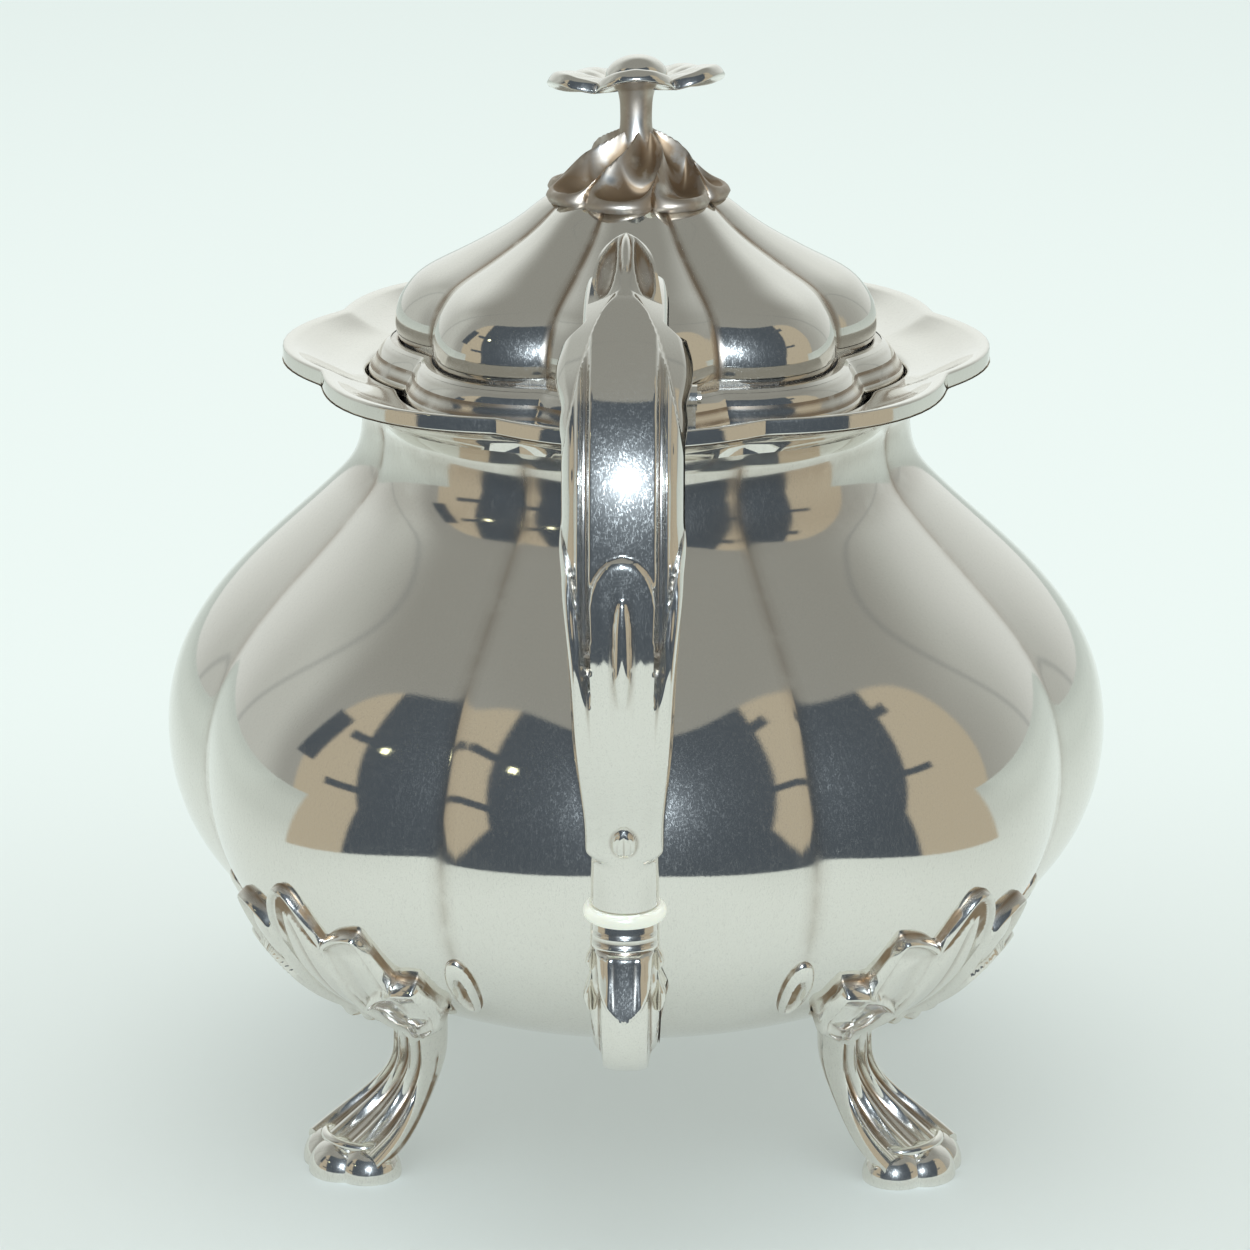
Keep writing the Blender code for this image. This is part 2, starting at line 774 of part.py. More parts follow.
def build():
    remove_default_objects()
    body_shell()
    rim_flange()
    rim_collar()
    lid_dome()
    lid_bezel()
    finial_calyx()
    finial_stem()
    finial_flower()
    finial_washer()
    finial_nut()
    hinge()
    for number in range(LOBES):
        crease_drop(number + 1, 2 * math.pi * (number + 0.5) / LOBES)
    for number, angle in enumerate(FOOT_ANGLES):
        foot_leaf(number + 1, math.radians(angle))
        foot_leg(number + 1, math.radians(angle))
    handle_scroll()
    thumb_leaf()
    handle_mounts()
    spout()
    spout_root_leaf()
    spout_lip()


build()
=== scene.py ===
"""Looks of the lobed silver teapot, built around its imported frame.

The pot stands on z = 0 with its body axis on Z, the handle on the -Y side and the spout
on the +Y side. Lengths here are in millimetres, and make_piece turns them into metres.
Every silver piece is a fine mesh that stands for one node of the frame.
"""

import math

import bmesh
import bpy
import numpy as np
from mathutils import Euler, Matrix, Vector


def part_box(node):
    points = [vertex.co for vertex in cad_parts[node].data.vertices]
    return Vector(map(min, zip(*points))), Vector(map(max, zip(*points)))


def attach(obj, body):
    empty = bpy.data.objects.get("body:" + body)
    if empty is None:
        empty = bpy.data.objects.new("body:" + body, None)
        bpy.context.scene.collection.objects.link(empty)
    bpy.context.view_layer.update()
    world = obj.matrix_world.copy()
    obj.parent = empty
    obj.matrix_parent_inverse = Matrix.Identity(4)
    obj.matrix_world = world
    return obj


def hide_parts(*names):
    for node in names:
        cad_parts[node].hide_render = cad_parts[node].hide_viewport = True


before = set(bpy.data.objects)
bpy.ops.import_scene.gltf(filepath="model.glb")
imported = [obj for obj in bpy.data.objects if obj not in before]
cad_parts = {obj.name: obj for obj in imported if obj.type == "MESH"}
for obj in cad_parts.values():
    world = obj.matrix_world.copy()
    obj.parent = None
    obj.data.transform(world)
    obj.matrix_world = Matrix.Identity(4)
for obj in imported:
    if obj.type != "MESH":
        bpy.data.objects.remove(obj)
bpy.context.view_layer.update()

MM = 0.001
GAP = 0.3                       # space left between two neighbouring pieces


def node_box(node):
    """Lowest and highest corner of a node of the frame, in millimetres."""
    low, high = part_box(node)
    return low / MM, high / MM


# Driving dimensions, read from the frame
BODY_LOW, BODY_HIGH = node_box("body_shell")
BODY_RADIUS = BODY_HIGH.x
BELLY_BOTTOM = BODY_LOW.z
BODY_TOP = BODY_HIGH.z
RIM_HIGH = node_box("rim_flange")[1]
RIM_RADIUS = RIM_HIGH.x
RIM_TOP = RIM_HIGH.z
COLLAR_LOW, COLLAR_HIGH = node_box("rim_collar")
SEAT = COLLAR_LOW.z
LID_LOW, LID_HIGH = node_box("lid_dome")
LID_BASE = LID_LOW.z
LID_TOP = LID_HIGH.z
LID_RADIUS = LID_HIGH.x
FINIAL_TOP = node_box("finial_flower")[1].z

# Shape of the lobes
LOBES = 8
LOBE_STEPS = 22                 # samples across one lobe, closer together near its folds
BODY_CREASE = 0.048             # how far a fold lies inside the lobes, as a share of the radius
LID_CREASE = 0.115
RIM_CREASE = 0.07
FOLD_ROUNDING = 0.019           # half width of a fold's rounded bottom, as a share of one lobe
WALL = 1.1
LID_DROP = 0.9                  # the lid's foot lies this much lower than the CAD's

FOOT_ANGLES = (45.0, 135.0, 225.0, 315.0)


# ---------------------------------------------------------------- mesh helpers

class Shape:
    """Points in millimetres and faces, gathered before they become one mesh."""

    def __init__(self):
        self.points = []
        self.faces = []
        self.stained = []               # points that always carry tarnish

    def grid(self, rows, closed=True, wrapped=False):
        """Surface through rows of points; closed joins each row's ends, wrapped the rows."""
        start = len(self.points)
        count = len(rows[0])
        for row in rows:
            self.points.extend(row)
        for row in range(len(rows) - (0 if wrapped else 1)):
            first = start + row * count
            second = start + (row + 1) % len(rows) * count
            for column in range(count - (0 if closed else 1)):
                following = (column + 1) % count
                self.faces.append((first + column, first + following,
                                   second + following, second + column))
        return start

    def fan(self, start, count, centre):
        """Closes the ring that starts at this index with triangles to one point."""
        self.points.append(centre)
        middle = len(self.points) - 1
        for column in range(count):
            self.faces.append((start + column, start + (column + 1) % count, middle))

    def loft(self, rows):
        """Closed solid through rings, with a fan over the first and the last one."""
        count = len(rows[0])
        start = self.grid(rows)
        self.fan(start, count, tuple(np.mean(np.array(rows[0]), axis=0)))
        self.fan(start + (len(rows) - 1) * count, count,
                 tuple(np.mean(np.array(rows[-1]), axis=0)))


def full_turn(count):
    """`count` angles spread evenly over one turn."""
    return [2 * math.pi * step / count for step in range(count)]


def look_up(table, place):
    """Second column of a table at this place in its first column."""
    return float(np.interp(place, table[:, 0], table[:, 1]))


def rounded_wall(depth, width):
    """0 on an outline and 1 from `width` inside it, rounded over like a quarter circle."""
    return math.sqrt(1 - (1 - min(depth / width, 1.0)) ** 2)


def add_object(name, data):
    item = bpy.data.objects.new(name, data)
    bpy.context.scene.collection.objects.link(item)
    return item


def lofted(rings):
    """Closed solid through these rings."""
    shape = Shape()
    shape.loft(rings)
    return shape


def wrapped(rings):
    """Ring-shaped solid, whose last ring joins the first one."""
    shape = Shape()
    shape.grid(rings, wrapped=True)
    return shape


def two_sided(rings, steps, surface):
    """Solid between a top and an underside, which surface(share, turn) gives in pairs."""
    upper = []
    lower = []
    for ring in range(rings):
        pairs = [surface(ring / (rings - 1), turn) for turn in full_turn(steps)]
        upper.append([above for above, below in pairs])
        lower.append([below for above, below in pairs])
    return wrapped(upper + lower[::-1])


def smooth_curve(points, count):
    """`count` samples of the natural cubic spline through points of any dimension."""
    knots = np.array(points, float)
    gaps = np.linalg.norm(np.diff(knots[:, :2], axis=0), axis=1)
    along = np.concatenate([[0.0], np.cumsum(gaps)])
    size = len(along)
    system = np.eye(size)
    wanted = np.zeros_like(knots)
    for index in range(1, size - 1):
        before, after = gaps[index - 1], gaps[index]
        system[index, index - 1:index + 2] = before, 2 * (before + after), after
        wanted[index] = 6 * ((knots[index + 1] - knots[index]) / after
                             - (knots[index] - knots[index - 1]) / before)
    bend = np.linalg.solve(system, wanted)
    samples = np.linspace(0.0, along[-1], count)
    span = np.clip(np.searchsorted(along, samples, side="right") - 1, 0, size - 2)
    length = gaps[span][:, None]
    near = (along[span + 1] - samples)[:, None] / length
    far = 1 - near
    return (near * knots[span] + far * knots[span + 1]
            + ((near ** 3 - near) * bend[span] + (far ** 3 - far) * bend[span + 1])
            * length * length / 6)


def rounded_outline(corners, steps):
    """Closed outline through (x, y, rounding) corners, each cut back and rounded off."""
    outline = []
    for index, (x, y, rounding) in enumerate(corners):
        here = np.array((x, y))
        before = np.array(corners[index - 1][:2])
        after = np.array(corners[(index + 1) % len(corners)][:2])
        if rounding == 0:
            outline.append((x, y))
            continue
        start = here + (before - here) * rounding / np.linalg.norm(before - here)
        end = here + (after - here) * rounding / np.linalg.norm(after - here)
        for step in range(steps + 1):
            share = step / steps
            point = (1 - share) ** 2 * start + 2 * share * (1 - share) * here + share ** 2 * end
            outline.append(tuple(point))
    return outline


def smooth_step(value, low, high):
    share = min(max((value - low) / (high - low), 0.0), 1.0)
    return share * share * (3 - 2 * share)


RECESS_SPREAD = 4               # how often the hollowness is averaged with its neighbours


def mark_recesses(mesh, gain, stained):
    """Point attribute "recess": 1 where the surface is hollow within about a millimetre."""
    count = len(mesh.vertices)
    places = np.zeros(count * 3)
    mesh.vertices.foreach_get("co", places)
    places = places.reshape(-1, 3) / MM
    normals = np.zeros(count * 3)
    mesh.vertices.foreach_get("normal", normals)
    normals = normals.reshape(-1, 3)
    ends = np.zeros(len(mesh.edges) * 2, int)
    mesh.edges.foreach_get("vertices", ends)
    ends = ends.reshape(-1, 2)
    both = np.concatenate([ends, ends[:, ::-1]])
    step = places[both[:, 1]] - places[both[:, 0]]
    length = np.maximum(np.linalg.norm(step, axis=1), 1e-4)
    rise = np.einsum("ij,ij->i", normals[both[:, 0]], step) / length
    neighbours = np.maximum(np.bincount(both[:, 0], minlength=count), 1)
    hollow = np.bincount(both[:, 0], rise / np.maximum(length, 0.15), count) / neighbours
    for _ in range(RECESS_SPREAD):
        around = np.bincount(both[:, 0], hollow[both[:, 1]], count) / neighbours
        hollow = 0.5 * hollow + 0.5 * around
    recess = np.clip(hollow * gain, 0.0, 1.0)
    recess[stained] = 1.0
    attribute = mesh.attributes.new("recess", "FLOAT", "POINT")
    attribute.data.foreach_set("value", recess.astype(np.float32))


def make_piece(node, shape, material, name="", body="pot", sharp=50.0, grime=1.4):
    """Smoothly shaded piece that rides on a body and stands for this node of the frame."""
    name = name or node + "_look"
    mesh = bpy.data.meshes.new(name)
    mesh.from_pydata([(x * MM, y * MM, z * MM) for x, y, z in shape.points], [], shape.faces)
    work = bmesh.new()
    work.from_mesh(mesh)
    bmesh.ops.recalc_face_normals(work, faces=work.faces)
    work.to_mesh(mesh)
    work.free()
    mesh.polygons.foreach_set("use_smooth", [True] * len(mesh.polygons))
    mesh.set_sharp_from_angle(angle=math.radians(sharp))
    mark_recesses(mesh, grime, shape.stained)
    mesh.materials.append(material)
    item = add_object(name, mesh)
    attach(item, body)
    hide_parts(node)


# ---------------------------------------------------------------- shader helpers

class Graph:
    """Short names for the shader nodes that the materials are made of."""

    def __init__(self, tree):
        self.tree = tree
        tree.nodes.clear()

    def node(self, kind, **settings):
        node = self.tree.nodes.new(kind)
        for key, value in settings.items():
            setattr(node, key, value)
        return node

    def connect(self, value, socket):
        """Feeds a socket, a number or a colour into an input."""
        if isinstance(value, bpy.types.NodeSocket):
            self.tree.links.new(value, socket)
        elif isinstance(value, tuple) and len(value) == 3 and socket.type == "RGBA":
            socket.default_value = (*value, 1.0)
        else:
            socket.default_value = value

    def fed(self, kind, inputs):
        """A node whose inputs have these values or come from these sockets."""
        node = self.node(kind)
        for name, value in inputs.items():
            self.connect(value, node.inputs[name])
        return node

    def math(self, operation, first, second=0.0, third=0.0):
        node = self.node("ShaderNodeMath", operation=operation)
        for value, socket in zip((first, second, third), node.inputs):
            self.connect(value, socket)
        return node.outputs[0]

    def step(self, value, low, high):
        """0 below low, 1 above high, smooth between them."""
        node = self.node("ShaderNodeMapRange", interpolation_type="SMOOTHSTEP")
        self.connect(value, node.inputs["Value"])
        self.connect(low, node.inputs["From Min"])
        self.connect(high, node.inputs["From Max"])
        return node.outputs["Result"]

    def mix(self, share, first, second):
        node = self.node("ShaderNodeMix", data_type="RGBA")
        self.connect(share, node.inputs[0])
        self.connect(first, node.inputs[6])
        self.connect(second, node.inputs[7])
        return node.outputs[2]

    def noise(self, place, scale, detail=2.0, distortion=0.0):
        inputs = {"Vector": place, "Scale": scale, "Detail": detail, "Distortion": distortion}
        return self.fed("ShaderNodeTexNoise", inputs).outputs["Fac"]

    def scaled(self, place, factors):
        inputs = {"Vector": place, "Scale": factors}
        return self.fed("ShaderNodeMapping", inputs).outputs["Vector"]

    def split(self, place):
        return self.fed("ShaderNodeSeparateXYZ", {"Vector": place}).outputs

    def shader_mix(self, share, first, second):
        node = self.node("ShaderNodeMixShader")
        self.connect(share, node.inputs[0])
        self.connect(first, node.inputs[1])
        self.connect(second, node.inputs[2])
        return node.outputs[0]

    def times(self, first, second):
        return self.math("MULTIPLY", first, second)

    def output(self, surface, kind="ShaderNodeOutputMaterial"):
        self.connect(surface, self.node(kind).inputs["Surface"])

    def turn(self, x, y):
        """Angle from the handle side in degrees, positive on the +X side."""
        return self.math("DEGREES", self.math("ARCTAN2", x, self.times(y, -1.0)))

    def within(self, value, middle, reach, soft):
        """1 within `reach` of the middle, falling to 0 over a soft edge."""
        away = self.math("ABSOLUTE", self.math("SUBTRACT", value, middle))
        return self.math("SUBTRACT", 1.0, self.step(away, reach - soft, reach + soft))


def new_material(name):
    material = bpy.data.materials.new(name)
    material.use_nodes = True
    return material, Graph(material.node_tree)


# ---------------------------------------------------------------- materials

SILVER = (0.84, 0.815, 0.76)
TARNISH = (0.27, 0.19, 0.12)
STROKE_SCALE = 3600.0           # fine strokes of polishing
SCRATCH_CELLS = 26.0            # the ringed scratches curl round the middles of these cells
SCRATCH_RINGS = 470.0
HAZE_ROUGHNESS = 0.34           # blur of the light that the scratches scatter


def silver(name, slot, roughness, haze, tarnish, age=0.0):
    """Silver with rings of fine polishing scratches, and brown tarnish left in its hollows."""
    material, graph = new_material(name)
    material["slot"] = slot
    place = graph.node("ShaderNodeTexCoord").outputs["Object"]
    recess = graph.node("ShaderNodeAttribute", attribute_name="recess").outputs["Fac"]
    patches = graph.noise(place, 260.0, 4.0)
    stain = graph.times(graph.step(patches, 0.10, 0.55), tarnish)
    stain = graph.times(stain, graph.math("ADD", recess, age))
    stain = graph.math("MINIMUM", stain, 1.0)
    colour = graph.mix(stain, SILVER, TARNISH)
    strokes = graph.noise(graph.scaled(place, (1.0, 1.0, 0.35)), STROKE_SCALE, 3.0, 1.6)
    cells = graph.fed("ShaderNodeTexVoronoi", {"Vector": place, "Scale": SCRATCH_CELLS})
    rings = graph.math("SINE", graph.times(cells.outputs["Distance"], SCRATCH_RINGS))
    wear = graph.step(graph.noise(place, 500.0, 4.0), 0.48, 0.62)
    arcs = graph.times(graph.step(rings, 0.3, 1.0), graph.times(wear, 0.22))
    scratched = graph.math("ADD", graph.step(strokes, 0.50, 0.70), arcs)
    bump = graph.fed("ShaderNodeBump", {"Strength": 0.10, "Distance": 0.00002, "Height": strokes})
    facing = bump.outputs["Normal"]
    worn = graph.math("MULTIPLY_ADD", stain, 0.35, roughness)
    metal = graph.fed("ShaderNodeBsdfPrincipled", {"Metallic": 1.0, "Base Color": colour,
                                                   "Roughness": worn, "Normal": facing})
    blur = graph.fed("ShaderNodeBsdfGlossy", {"Color": colour, "Roughness": HAZE_ROUGHNESS,
                                              "Normal": facing})
    share = graph.math("MULTIPLY_ADD", scratched, haze, haze * 0.22)
    graph.output(graph.shader_mix(share, metal.outputs[0], blur.outputs[0]))
    return material


def ivory():
    """Cream insulator with tan staining and a faint streaked grain."""
    material, graph = new_material("old_ivory")
    material["slot"] = "ivory"
    place = graph.node("ShaderNodeTexCoord").outputs["Object"]
    clouds = graph.noise(place, 90.0, 4.0)
    grain = graph.noise(graph.scaled(place, (1.0, 1.0, 5.0)), 700.0, 3.0)
    colour = graph.mix(graph.step(clouds, 0.56, 0.74), (0.97, 0.98, 0.88), (0.70, 0.54, 0.32))
    colour = graph.mix(graph.times(grain, 0.12), colour, (0.74, 0.64, 0.44))
    skin = graph.fed("ShaderNodeBsdfPrincipled", {
        "Base Color": colour,
        "Roughness": 0.28,
        # painted light: a faint glow of the ivory's own colour brightens it beyond what the lamps
        # give
        "Emission Color": colour,
        "Emission Strength": 0.06,
        "Subsurface Weight": 0.12,
        "Subsurface Radius": (0.002, 0.0014, 0.0008),
        "Subsurface Scale": 1.0,
    })
    graph.output(skin.outputs[0])
    return material


POLISHED = silver("polished_silver", "polished_silver", 0.045, 0.14, 0.85)
CAST = silver("cast_silver", "cast_silver", 0.09, 0.14, 1.0)
AGED = silver("aged_silver", "cast_silver", 0.2, 0.2, 1.0, 0.75)
INNER = silver("inner_silver", "inner_silver", 0.26, 0.5, 1.0)
IVORY = ivory()


# ---------------------------------------------------------------- studio

DARK = (0.068, 0.085, 0.105)
TAN = (0.48, 0.43, 0.33)
DARK_REACH = 53.0               # degrees to each side of the handle side, at eye level
TAN_MIDDLE = 5.0                # the tan cloths reach a little further on the +X side
TAN_REACH = 88.0
OPENING_TOP = 55.0              # degrees above the horizon
CLIPS = ((-1, 9.0), (-1, 33.0), (1, 19.0), (1, 46.0))    # side and height of each cloth clip
BAR = (-80.0, 26.0)             # a dark upright bar beside the opening: its turn and height
LAMP = (-51.0, 31.0)            # a small lamp in the dark room
LAMP_GLOW = (5.0, 5.0, 3.2)
TENT_LIGHT = (0.84, 0.88, 0.86)
TABLE_HALF = 205.0 * MM         # the table's front edge is half of an oval
TABLE_FRONT = 320.0 * MM
FLOOR_HALF = 12.0               # metres
# Painted light: the floor's colour is darker near the front and lighter behind the pot, where more
# of the tent's light falls
FLOOR_NEAR_SHADED = (0.73, 0.785, 0.765)
FLOOR_FAR_LIT = (0.82, 0.89, 0.87)
FLOOR_ASIDE = (0.25, 0.26, 0.24)    # beside the pot, seen only in the silver
LENS = 118.7
CAMERA_PLACE = (0.0094, -0.6264, 0.2808)
CAMERA_DOWN = 17.91             # degrees below the horizon
CAMERA_TURN = 1.016


def studio_front(graph, turn, height):
    """Colour of the open front of the light tent: dark room between two clipped tan cloths."""
    bearing = graph.math("ABSOLUTE", turn)
    edge = graph.math("MULTIPLY_ADD", height, 0.2, DARK_REACH)
    tan = graph.step(graph.math("SUBTRACT", bearing, edge), -0.8, 0.8)
    for side, level in CLIPS:
        reach = graph.within(turn, side * 56.0, 13.0, 0.8)
        jaw = graph.times(graph.within(height, level, 1.7, 0.4), reach)
        tan = graph.times(tan, graph.math("SUBTRACT", 1.0, jaw))
    return graph.mix(tan, DARK, TAN)


def tent_cloth(graph, turn, height):
    """Pale cloth of the tent: bright behind the pot, greyer in front and overhead."""
    bearing = graph.math("ABSOLUTE", turn)
    walls = graph.mix(graph.step(bearing, 85.0, 190.0), (0.33, 0.34, 0.32), (0.95, 1.0, 0.98))
    walls = graph.mix(graph.within(bearing, 112.0, 14.0, 10.0), walls, (0.52, 0.545, 0.52))
    right = graph.within(turn, 92.0, 24.0, 14.0)
    walls = graph.mix(graph.times(right, 0.7), walls, (0.33, 0.335, 0.31))
    overhead = graph.step(height, 30.0, 60.0)
    tent = graph.mix(overhead, walls, (0.29, 0.295, 0.272))
    seam = graph.within(graph.math("MULTIPLY_ADD", height, 0.5, bearing), 128.0, 0.9, 0.7)
    return graph.mix(graph.times(seam, 0.25), tent, DARK)


def open_front(graph, turn, height):
    """0 inside the rounded rectangle of the tent's open front, 1 outside it."""
    across = graph.math("DIVIDE", graph.math("SUBTRACT", turn, TAN_MIDDLE), TAN_REACH)
    up = graph.math("DIVIDE", height, OPENING_TOP)
    corner = graph.math("ADD", graph.math("POWER", graph.math("ABSOLUTE", across), 5.0),
                        graph.math("POWER", graph.math("ABSOLUTE", up), 5.0))
    return graph.step(corner, 0.95, 1.05)


def spot(graph, turn, height, middle, half, soft):
    """1 within a small rectangle of the surroundings, given in degrees."""
    return graph.times(graph.within(turn, middle[0], half[0], soft),
                       graph.within(height, middle[1], half[1], soft))


def studio_world():
    """Pale light tent, seen in the silver, with its open front on the handle side."""
    world = bpy.data.worlds.new("light_tent")
    world.use_nodes = True
    bpy.context.scene.world = world
    graph = Graph(world.node_tree)
    x, y, z = graph.split(graph.node("ShaderNodeTexCoord").outputs["Generated"])
    turn = graph.turn(x, y)
    height = graph.math("DEGREES", graph.math("ARCSINE", z))
    mirrored = graph.mix(open_front(graph, turn, height), studio_front(graph, turn, height),
                         tent_cloth(graph, turn, height))
    slant = graph.math("MULTIPLY_ADD", graph.math("SUBTRACT", height, BAR[1]), -0.25, turn)
    mirrored = graph.mix(spot(graph, slant, height, BAR, (5.0, 11.0), 0.6), mirrored, DARK)
    lamp = spot(graph, turn, height, LAMP, (1.3, 1.1), 0.4)
    mirrored = graph.mix(lamp, mirrored, LAMP_GLOW)
    reflected = graph.node("ShaderNodeLightPath").outputs["Is Glossy Ray"]
    colour = graph.mix(reflected, TENT_LIGHT, mirrored)
    background = graph.fed("ShaderNodeBackground", {"Color": colour})
    graph.output(background.outputs[0], "ShaderNodeOutputWorld")


def floor_material():
    """Pale cloth. In the silver it ends at the table's edge, in front of the handle."""
    material, graph = new_material("pale_floor")
    x, y = graph.split(graph.node("ShaderNodeNewGeometry").outputs["Position"])[:2]
    mirrored = graph.node("ShaderNodeLightPath").outputs["Is Glossy Ray"]
    # painted light: the cloth is painted lighter toward the back and darker toward the front
    colour = graph.mix(graph.step(y, -0.04, 0.2), FLOOR_NEAR_SHADED, FLOOR_FAR_LIT)
    cloth = graph.fed("ShaderNodeBsdfDiffuse", {"Color": colour})
    aside = graph.times(graph.step(graph.math("ABSOLUTE", x), 0.08, 0.32), mirrored)
    # painted light: 35% of the cloth's look is a glow rather than lit cloth, which keeps it bright
    # and its shadows soft
    glow = graph.fed("ShaderNodeEmission", {"Color": graph.mix(aside, colour, FLOOR_ASIDE)})
    pale = graph.shader_mix(0.35, cloth.outputs[0], glow.outputs[0])
    turn = graph.turn(x, y)
    front = graph.fed("ShaderNodeEmission", {"Color": studio_front(graph, turn, 0.0)})
    wide = graph.math("POWER", graph.math("DIVIDE", x, TABLE_HALF), 2.0)
    deep = graph.math("POWER", graph.math("DIVIDE", y, TABLE_FRONT), 2.0)
    beyond = graph.step(graph.math("ADD", wide, deep), 0.97, 1.03)
    beyond = graph.times(beyond, graph.within(turn, TAN_MIDDLE, TAN_REACH - 8.0, 1.0))
    graph.output(graph.shader_mix(graph.times(beyond, mirrored), pale, front.outputs[0]))
    return material


def studio_floor():
    mesh = bpy.data.meshes.new("floor")
    mesh.from_pydata([(-FLOOR_HALF, -FLOOR_HALF, 0), (FLOOR_HALF, -FLOOR_HALF, 0),
                      (FLOOR_HALF, FLOOR_HALF, 0), (-FLOOR_HALF, FLOOR_HALF, 0)],
                     [], [(0, 1, 2, 3)])
    mesh.materials.append(floor_material())
    add_object("floor", mesh)


def area_light(name, place, turn, size, power, colour, only_mirrored):
    """Round light that shows only in the silver, or that lights the scene but isn't mirrored."""
    light = bpy.data.lights.new(name, "AREA")
    light.shape = "DISK"
    light.size = size
    light.energy = power
    light.color = colour
    item = add_object(name, light)
    item.location = place
    item.rotation_euler = turn
    item.visible_glossy = only_mirrored
    item.visible_diffuse = not only_mirrored


def studio_lights():
    area_light("tent_top", (0.0, 0.15, 1.1), (0.0, 0.0, 0.0), 1.1, 3.5, (1.0, 1.0, 0.98), False)
    area_light("flash", (0.012, -0.66, 0.30), (math.radians(68.0), 0.0, 0.0), 0.022, 8.0,
               (0.74, 0.87, 1.0), True)


def camera():
    """From behind the handle and a little above, at the distance of a long portrait lens."""
    data = bpy.data.cameras.new("camera")
    data.lens = LENS
    data.sensor_width = 36.0
    item = add_object("camera", data)
    item.location = CAMERA_PLACE
    item.rotation_euler = Euler((math.radians(90.0 - CAMERA_DOWN), 0.0, math.radians(CAMERA_TURN)))
    bpy.context.scene.camera = item


# ---------------------------------------------------------------- lobed pieces

def lobe_samples():
    """Angles round the pot, closer together near the folds between the lobes."""
    angles = []
    for lobe in range(LOBES):
        for step in range(LOBE_STEPS):
            across = 0.5 * math.sin(math.pi * (step / LOBE_STEPS - 0.5))
            angles.append(2 * math.pi * (lobe + across) / LOBES)
    return angles


AROUND = lobe_samples()


def lobe_factor(angle, crease):
    """1 in the middle of a lobe, falling to 1 - crease in the rounded fold beside it."""
    across = abs((angle * LOBES / (2 * math.pi) + 0.5) % 1.0 - 0.5)
    softened = 0.5 - math.hypot(0.5 - across, FOLD_ROUNDING)
    return 1 - crease * (1 - math.cos(math.pi * softened))


def around_axis(radius, angle, z):
    """A point at this angle from the handle side, anticlockwise seen from above."""
    return (radius * math.sin(angle), -radius * math.cos(angle), z)


def lobed_ring(radius, z, crease):
    return [around_axis(radius * lobe_factor(angle, crease), angle, z) for angle in AROUND]


def turned_shape(section, crease):
    """Ring-shaped solid from a closed section of (radius, z), with folds of crease(z)."""
    return wrapped([lobed_ring(radius, z, crease(z)) for radius, z in section])


def body_profile(count):
    """Outside of the vessel as (radius, z), from the middle of its base to its rim."""
    return smooth_curve([
        (6.0, BELLY_BOTTOM),
        (22.0, BELLY_BOTTOM + 2.0),
        (40.0, BELLY_BOTTOM + 8.2),
        (58.7, 33.5),
        (70.0, 44.6),
        (BODY_RADIUS, 62.6),
        (72.6, 75.0),
        (62.0, 89.5),
        (47.9, 102.6),
        (44.4, 107.0),
        (43.2, 111.0),
        (43.2, 114.6),
        (44.6, BODY_TOP - 0.6),
        (45.1, BODY_TOP),
    ], count)


PROFILE = body_profile(420)


def body_radius(z):
    """Lobe radius of the vessel's outside at this height."""
    return look_up(PROFILE[:, ::-1], z)


def body_crease(z):
    """Depth of the vessel's folds: they fade out under the belly and are shallower above."""
    return BODY_CREASE * smooth_step(z, 26.0, 44.0) - 0.014 * smooth_step(z, 92.0, 110.0)


def on_body(angle, z, lift):
    """A point `lift` outside the vessel's surface, square to it."""
    slope = body_radius(z + 0.5) - body_radius(z - 0.5)
    length = math.hypot(1.0, slope)
    radius = body_radius(z) * lobe_factor(angle, body_crease(z))
    return around_axis(radius + lift / length, angle, z - lift * slope / length)


def body_shell():
    outside = body_profile(130)
    inside = []
    for index, (radius, z) in enumerate(outside):
        ahead = outside[min(index + 1, len(outside) - 1)]
        behind = outside[max(index - 1, 0)]
        run = ahead - behind
        run = run / np.linalg.norm(run)
        inside.append((radius - WALL * run[1], min(z + WALL * run[0], BODY_TOP)))
    wall = list(outside) + inside[::-1]
    shape = lofted([lobed_ring(radius, z, body_crease(z)) for radius, z in wall])
    make_piece("body_shell", shape, POLISHED, name="body_look", grime=13.0)


def rim_flange():
    """Everted rim: its underside carries on from the neck, its top is a shallow dish."""
    corners = [
        (44.3, BODY_TOP - 0.3, 0.0),
        (45.2, BODY_TOP - 0.1, 0.0),
        (48.2, 120.9, 2.4),
        (RIM_RADIUS - 1.4, 122.1, 1.6),
        (RIM_RADIUS, 122.6, 0.5),
        (RIM_RADIUS, RIM_TOP, 0.6),
        (RIM_RADIUS - 1.6, RIM_TOP - 0.25, 0.6),
        (48.6, 122.4, 3.0),
        (COLLAR_HIGH.x + 0.3, SEAT + 1.4, 1.0),
        (COLLAR_HIGH.x + 0.3, SEAT + 0.3, 0.0),
        (44.0, SEAT - 0.1, 0.0),
    ]

    def crease(z):
        neck = body_crease(BODY_TOP)
        return neck + (RIM_CREASE - neck) * smooth_step(z, BODY_TOP, SEAT)

    shape = turned_shape(rounded_outline(corners, 7), crease)
    make_piece("rim_flange", shape, POLISHED, name="rim_look")


